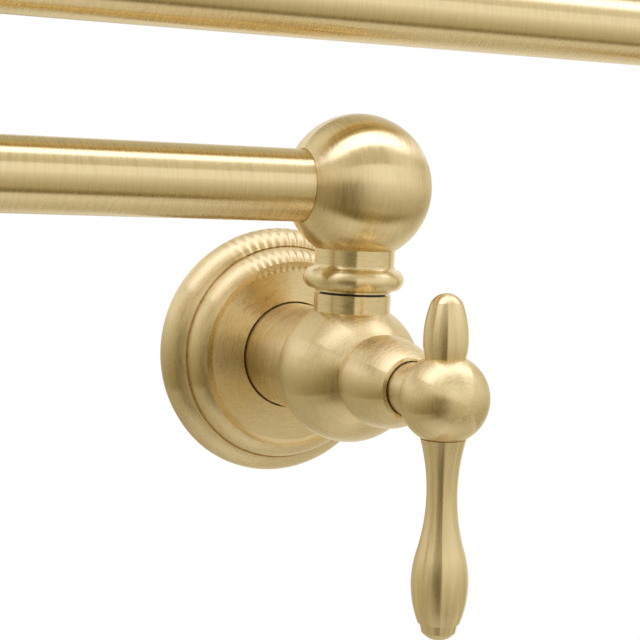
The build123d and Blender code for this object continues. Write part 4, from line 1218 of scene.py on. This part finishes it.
class POTFILLER_OT_studio(bpy.types.Operator):
    """Pale floor, soft studio light and the photograph's camera"""
    bl_idname = "pot_filler.studio"
    bl_label = "Studio"

    def execute(self, context):
        s = context.scene.pot_filler_stage
        context.scene.view_settings.view_transform = "Standard"
        self.lay_floor(s)
        self.hang_softbox(s)
        self.paint_room(context)
        self.hang_nets(s)
        self.set_camera(context, s)
        return {"FINISHED"}

    def lay_floor(self, s):
        """Pale floor, drawn almost white, as the walls are, and with part of its shading near the tap."""
        mesh = bmesh.new()
        bmesh.ops.create_circle(mesh, cap_ends=True, segments=64, radius=s.floor_radius)
        floor = as_object(mesh, "floor", Matrix.Translation((0, 0, CAD_BOX[0].z - s.floor_drop)))
        made, tree = blank(bpy.data.materials, "pale floor")
        matt = node(tree, "BsdfPrincipled", {"Base Color": s.floor_colour, "Roughness": s.floor_roughness})
        place = node(tree, "TexCoord").outputs["Object"]
        away = node(tree, "VectorMath", (place,), operation="LENGTH").outputs["Value"]
        even = node(tree, "MapRange", {"Value": away, "From Min": s.floor_near, "From Max": s.floor_far,
                                       "To Min": s.floor_white})
        part = node(tree, "Math", (seen_or_mirrored(tree), even), operation="MULTIPLY")
        white = node(tree, "Emission", {"Color": (1, 1, 1, 1), "Strength": 1.0})
        mixed = node(tree, "MixShader", (part, matt, white))
        node(tree, "OutputMaterial", {"Surface": mixed})
        floor.data.materials.append(made)

    def hang_softbox(self, s):
        """Long daylight softbox overhead."""
        light = bpy.data.lights.new("softbox", "AREA")
        light.shape = "RECTANGLE"
        light.size, light.size_y = s.softbox_length, s.softbox_width
        light.energy = s.softbox_power
        light.color = s.softbox_colour[:3]
        lamp = bpy.data.objects.new("softbox", light)
        lamp.location = (0, 2 * WALL_BALL.y, s.softbox_height)
        bpy.context.scene.collection.objects.link(lamp)

    def paint_room(self, context):
        """White walls all round."""
        context.scene.world, tree = blank(bpy.data.worlds, "studio room")
        walls = node(tree, "Background", {"Color": (1, 1, 1, 1), "Strength": 1.0})
        node(tree, "OutputWorld", {"Surface": walls})

    def hang_nets(self, s):
        """Brown nets on all sides, off camera: polished metal needs something dark to mirror."""
        mesh = bmesh.new()
        bmesh.ops.create_cube(mesh, size=2.0)
        bmesh.ops.scale(mesh, vec=s.net_reach, verts=mesh.verts[:])
        for face in mesh.faces:
            facing = [face.normal.dot(side) for side, _, _ in NETS.values()]
            face.material_index = facing.index(max(facing))
        middle_of_nets = Vector((WALL_BALL.x, WALL_BALL.y, FAR_BALL.z))
        nets = as_object(mesh, "nets", Matrix.Translation(middle_of_nets))
        nets.visible_camera = False
        for name, (_, axis, stops) in NETS.items():
            nets.data.materials.append(self.weave_net(name, axis, stops, middle_of_nets))

    def weave_net(self, name, axis, stops, middle_of_nets):
        """Net that lets less blue through the denser it is."""
        made, tree = blank(bpy.data.materials, f"brown net, {name}")
        place = node(tree, "TexCoord").outputs["Object"]
        place = node(tree, "VectorMath", (place, middle_of_nets), operation="SUBTRACT")
        direction = node(tree, "VectorMath", (place,), operation="NORMALIZE")
        toward = node(tree, "SeparateXYZ", (direction,)).outputs
        backward = node(tree, "Math", (toward["Y"], -1.0), operation="MULTIPLY")
        azimuth = node(tree, "Math", (toward["X"], backward), operation="ARCTAN2")
        azimuth = node(tree, "Math", (azimuth,), operation="DEGREES")
        elevation = node(tree, "Math", (toward["Z"],), operation="ARCSINE")
        elevation = node(tree, "Math", (elevation,), operation="DEGREES")
        cover = node(tree, "Math", (ramp(tree, azimuth, FLAG_AZIMUTHS),
                                    ramp(tree, elevation, FLAG_ELEVATIONS)), operation="MULTIPLY")
        through = ramp(tree, node(tree, "SeparateXYZ", (place,)).outputs[axis], stops)
        through = node(tree, "Mix", {"Factor": cover, "A": through, "B": FLAG}, data_type="FLOAT")
        for *spot, denser in NET_PATCHES:
            spread = lobe(tree, direction, *spot)
            patch = node(tree, "Math", (spread, -denser, 1.0), operation="MULTIPLY_ADD")
            through = node(tree, "Math", (through, patch), operation="MULTIPLY", use_clamp=True)
        tint = node(tree, "CombineColor", [
            node(tree, "Math", (through, fall), operation="POWER") for fall in NET_TINT])
        net = node(tree, "BsdfTransparent", {"Color": tint})
        node(tree, "OutputMaterial", {"Surface": net})
        return made

    def set_camera(self, context, s):
        """Camera of the photograph."""
        ahead = Vector((sin(s.azimuth) * cos(s.tilt), cos(s.azimuth) * cos(s.tilt), -sin(s.tilt)))
        level = Vector((cos(s.azimuth), -sin(s.azimuth), 0))
        right = cos(s.roll) * level + sin(s.roll) * level.cross(ahead)
        above = right.cross(ahead)
        data = bpy.data.cameras.new("photograph")
        data.lens, data.sensor_width = s.lens, s.sensor
        camera = bpy.data.objects.new("photograph", data)
        turn = Matrix((right, above, -ahead)).transposed().to_4x4()
        camera.matrix_world = Matrix.Translation(s.camera_place) @ turn
        context.scene.collection.objects.link(camera)
        context.scene.camera = camera


# ---------------------------------------------------------------- panel and registration


GROUPS = {
    "pot_filler_flange": FlangeSizes,
    "pot_filler_inlet": InletSizes,
    "pot_filler_valve": ValveSizes,
    "pot_filler_handle": HandleSizes,
    "pot_filler_arm": ArmSizes,
    "pot_filler_spout": SpoutSizes,
    "pot_filler_finish": FinishSettings,
    "pot_filler_stage": StageSettings,
}

OPERATORS = (
    POTFILLER_OT_inner_parts,
    POTFILLER_OT_wall_flange,
    POTFILLER_OT_supply_adapter,
    POTFILLER_OT_inlet_shank,
    POTFILLER_OT_valve_bodies,
    POTFILLER_OT_bonnets,
    POTFILLER_OT_handle_hubs,
    POTFILLER_OT_finials,
    POTFILLER_OT_levers,
    POTFILLER_OT_elbows,
    POTFILLER_OT_far_ball,
    POTFILLER_OT_arm_tubes,
    POTFILLER_OT_down_spout,
    POTFILLER_OT_aerator,
    POTFILLER_OT_studio,
)


class POTFILLER_PT_panel(bpy.types.Panel):
    """Pieces of the pot filler and their sizes"""
    bl_idname = "POTFILLER_PT_panel"
    bl_label = "Pot filler"
    bl_space_type = "VIEW_3D"
    bl_region_type = "UI"
    bl_category = "Pot filler"

    def draw(self, context):
        for operator in OPERATORS:
            self.layout.operator(operator.bl_idname)
        for name, group in GROUPS.items():
            box = self.layout.box()
            box.label(text=group.__doc__.split(":")[0].split(",")[0])
            for key in group.__annotations__:
                box.prop(getattr(context.scene, name), key)


def register():
    for name, group in GROUPS.items():
        bpy.utils.register_class(group)
        setattr(bpy.types.Scene, name, PointerProperty(type=group))
    for item in (*OPERATORS, POTFILLER_PT_panel):
        bpy.utils.register_class(item)


def unregister():
    for item in (POTFILLER_PT_panel, *reversed(OPERATORS)):
        bpy.utils.unregister_class(item)
    for name, group in reversed(GROUPS.items()):
        delattr(bpy.types.Scene, name)
        bpy.utils.unregister_class(group)


def main():
    """Builds every piece and the stage."""
    register()
    for operator in OPERATORS:
        family, name = operator.bl_idname.split(".")
        getattr(getattr(bpy.ops, family), name)()
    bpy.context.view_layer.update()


if __name__ == "__main__":
    main()
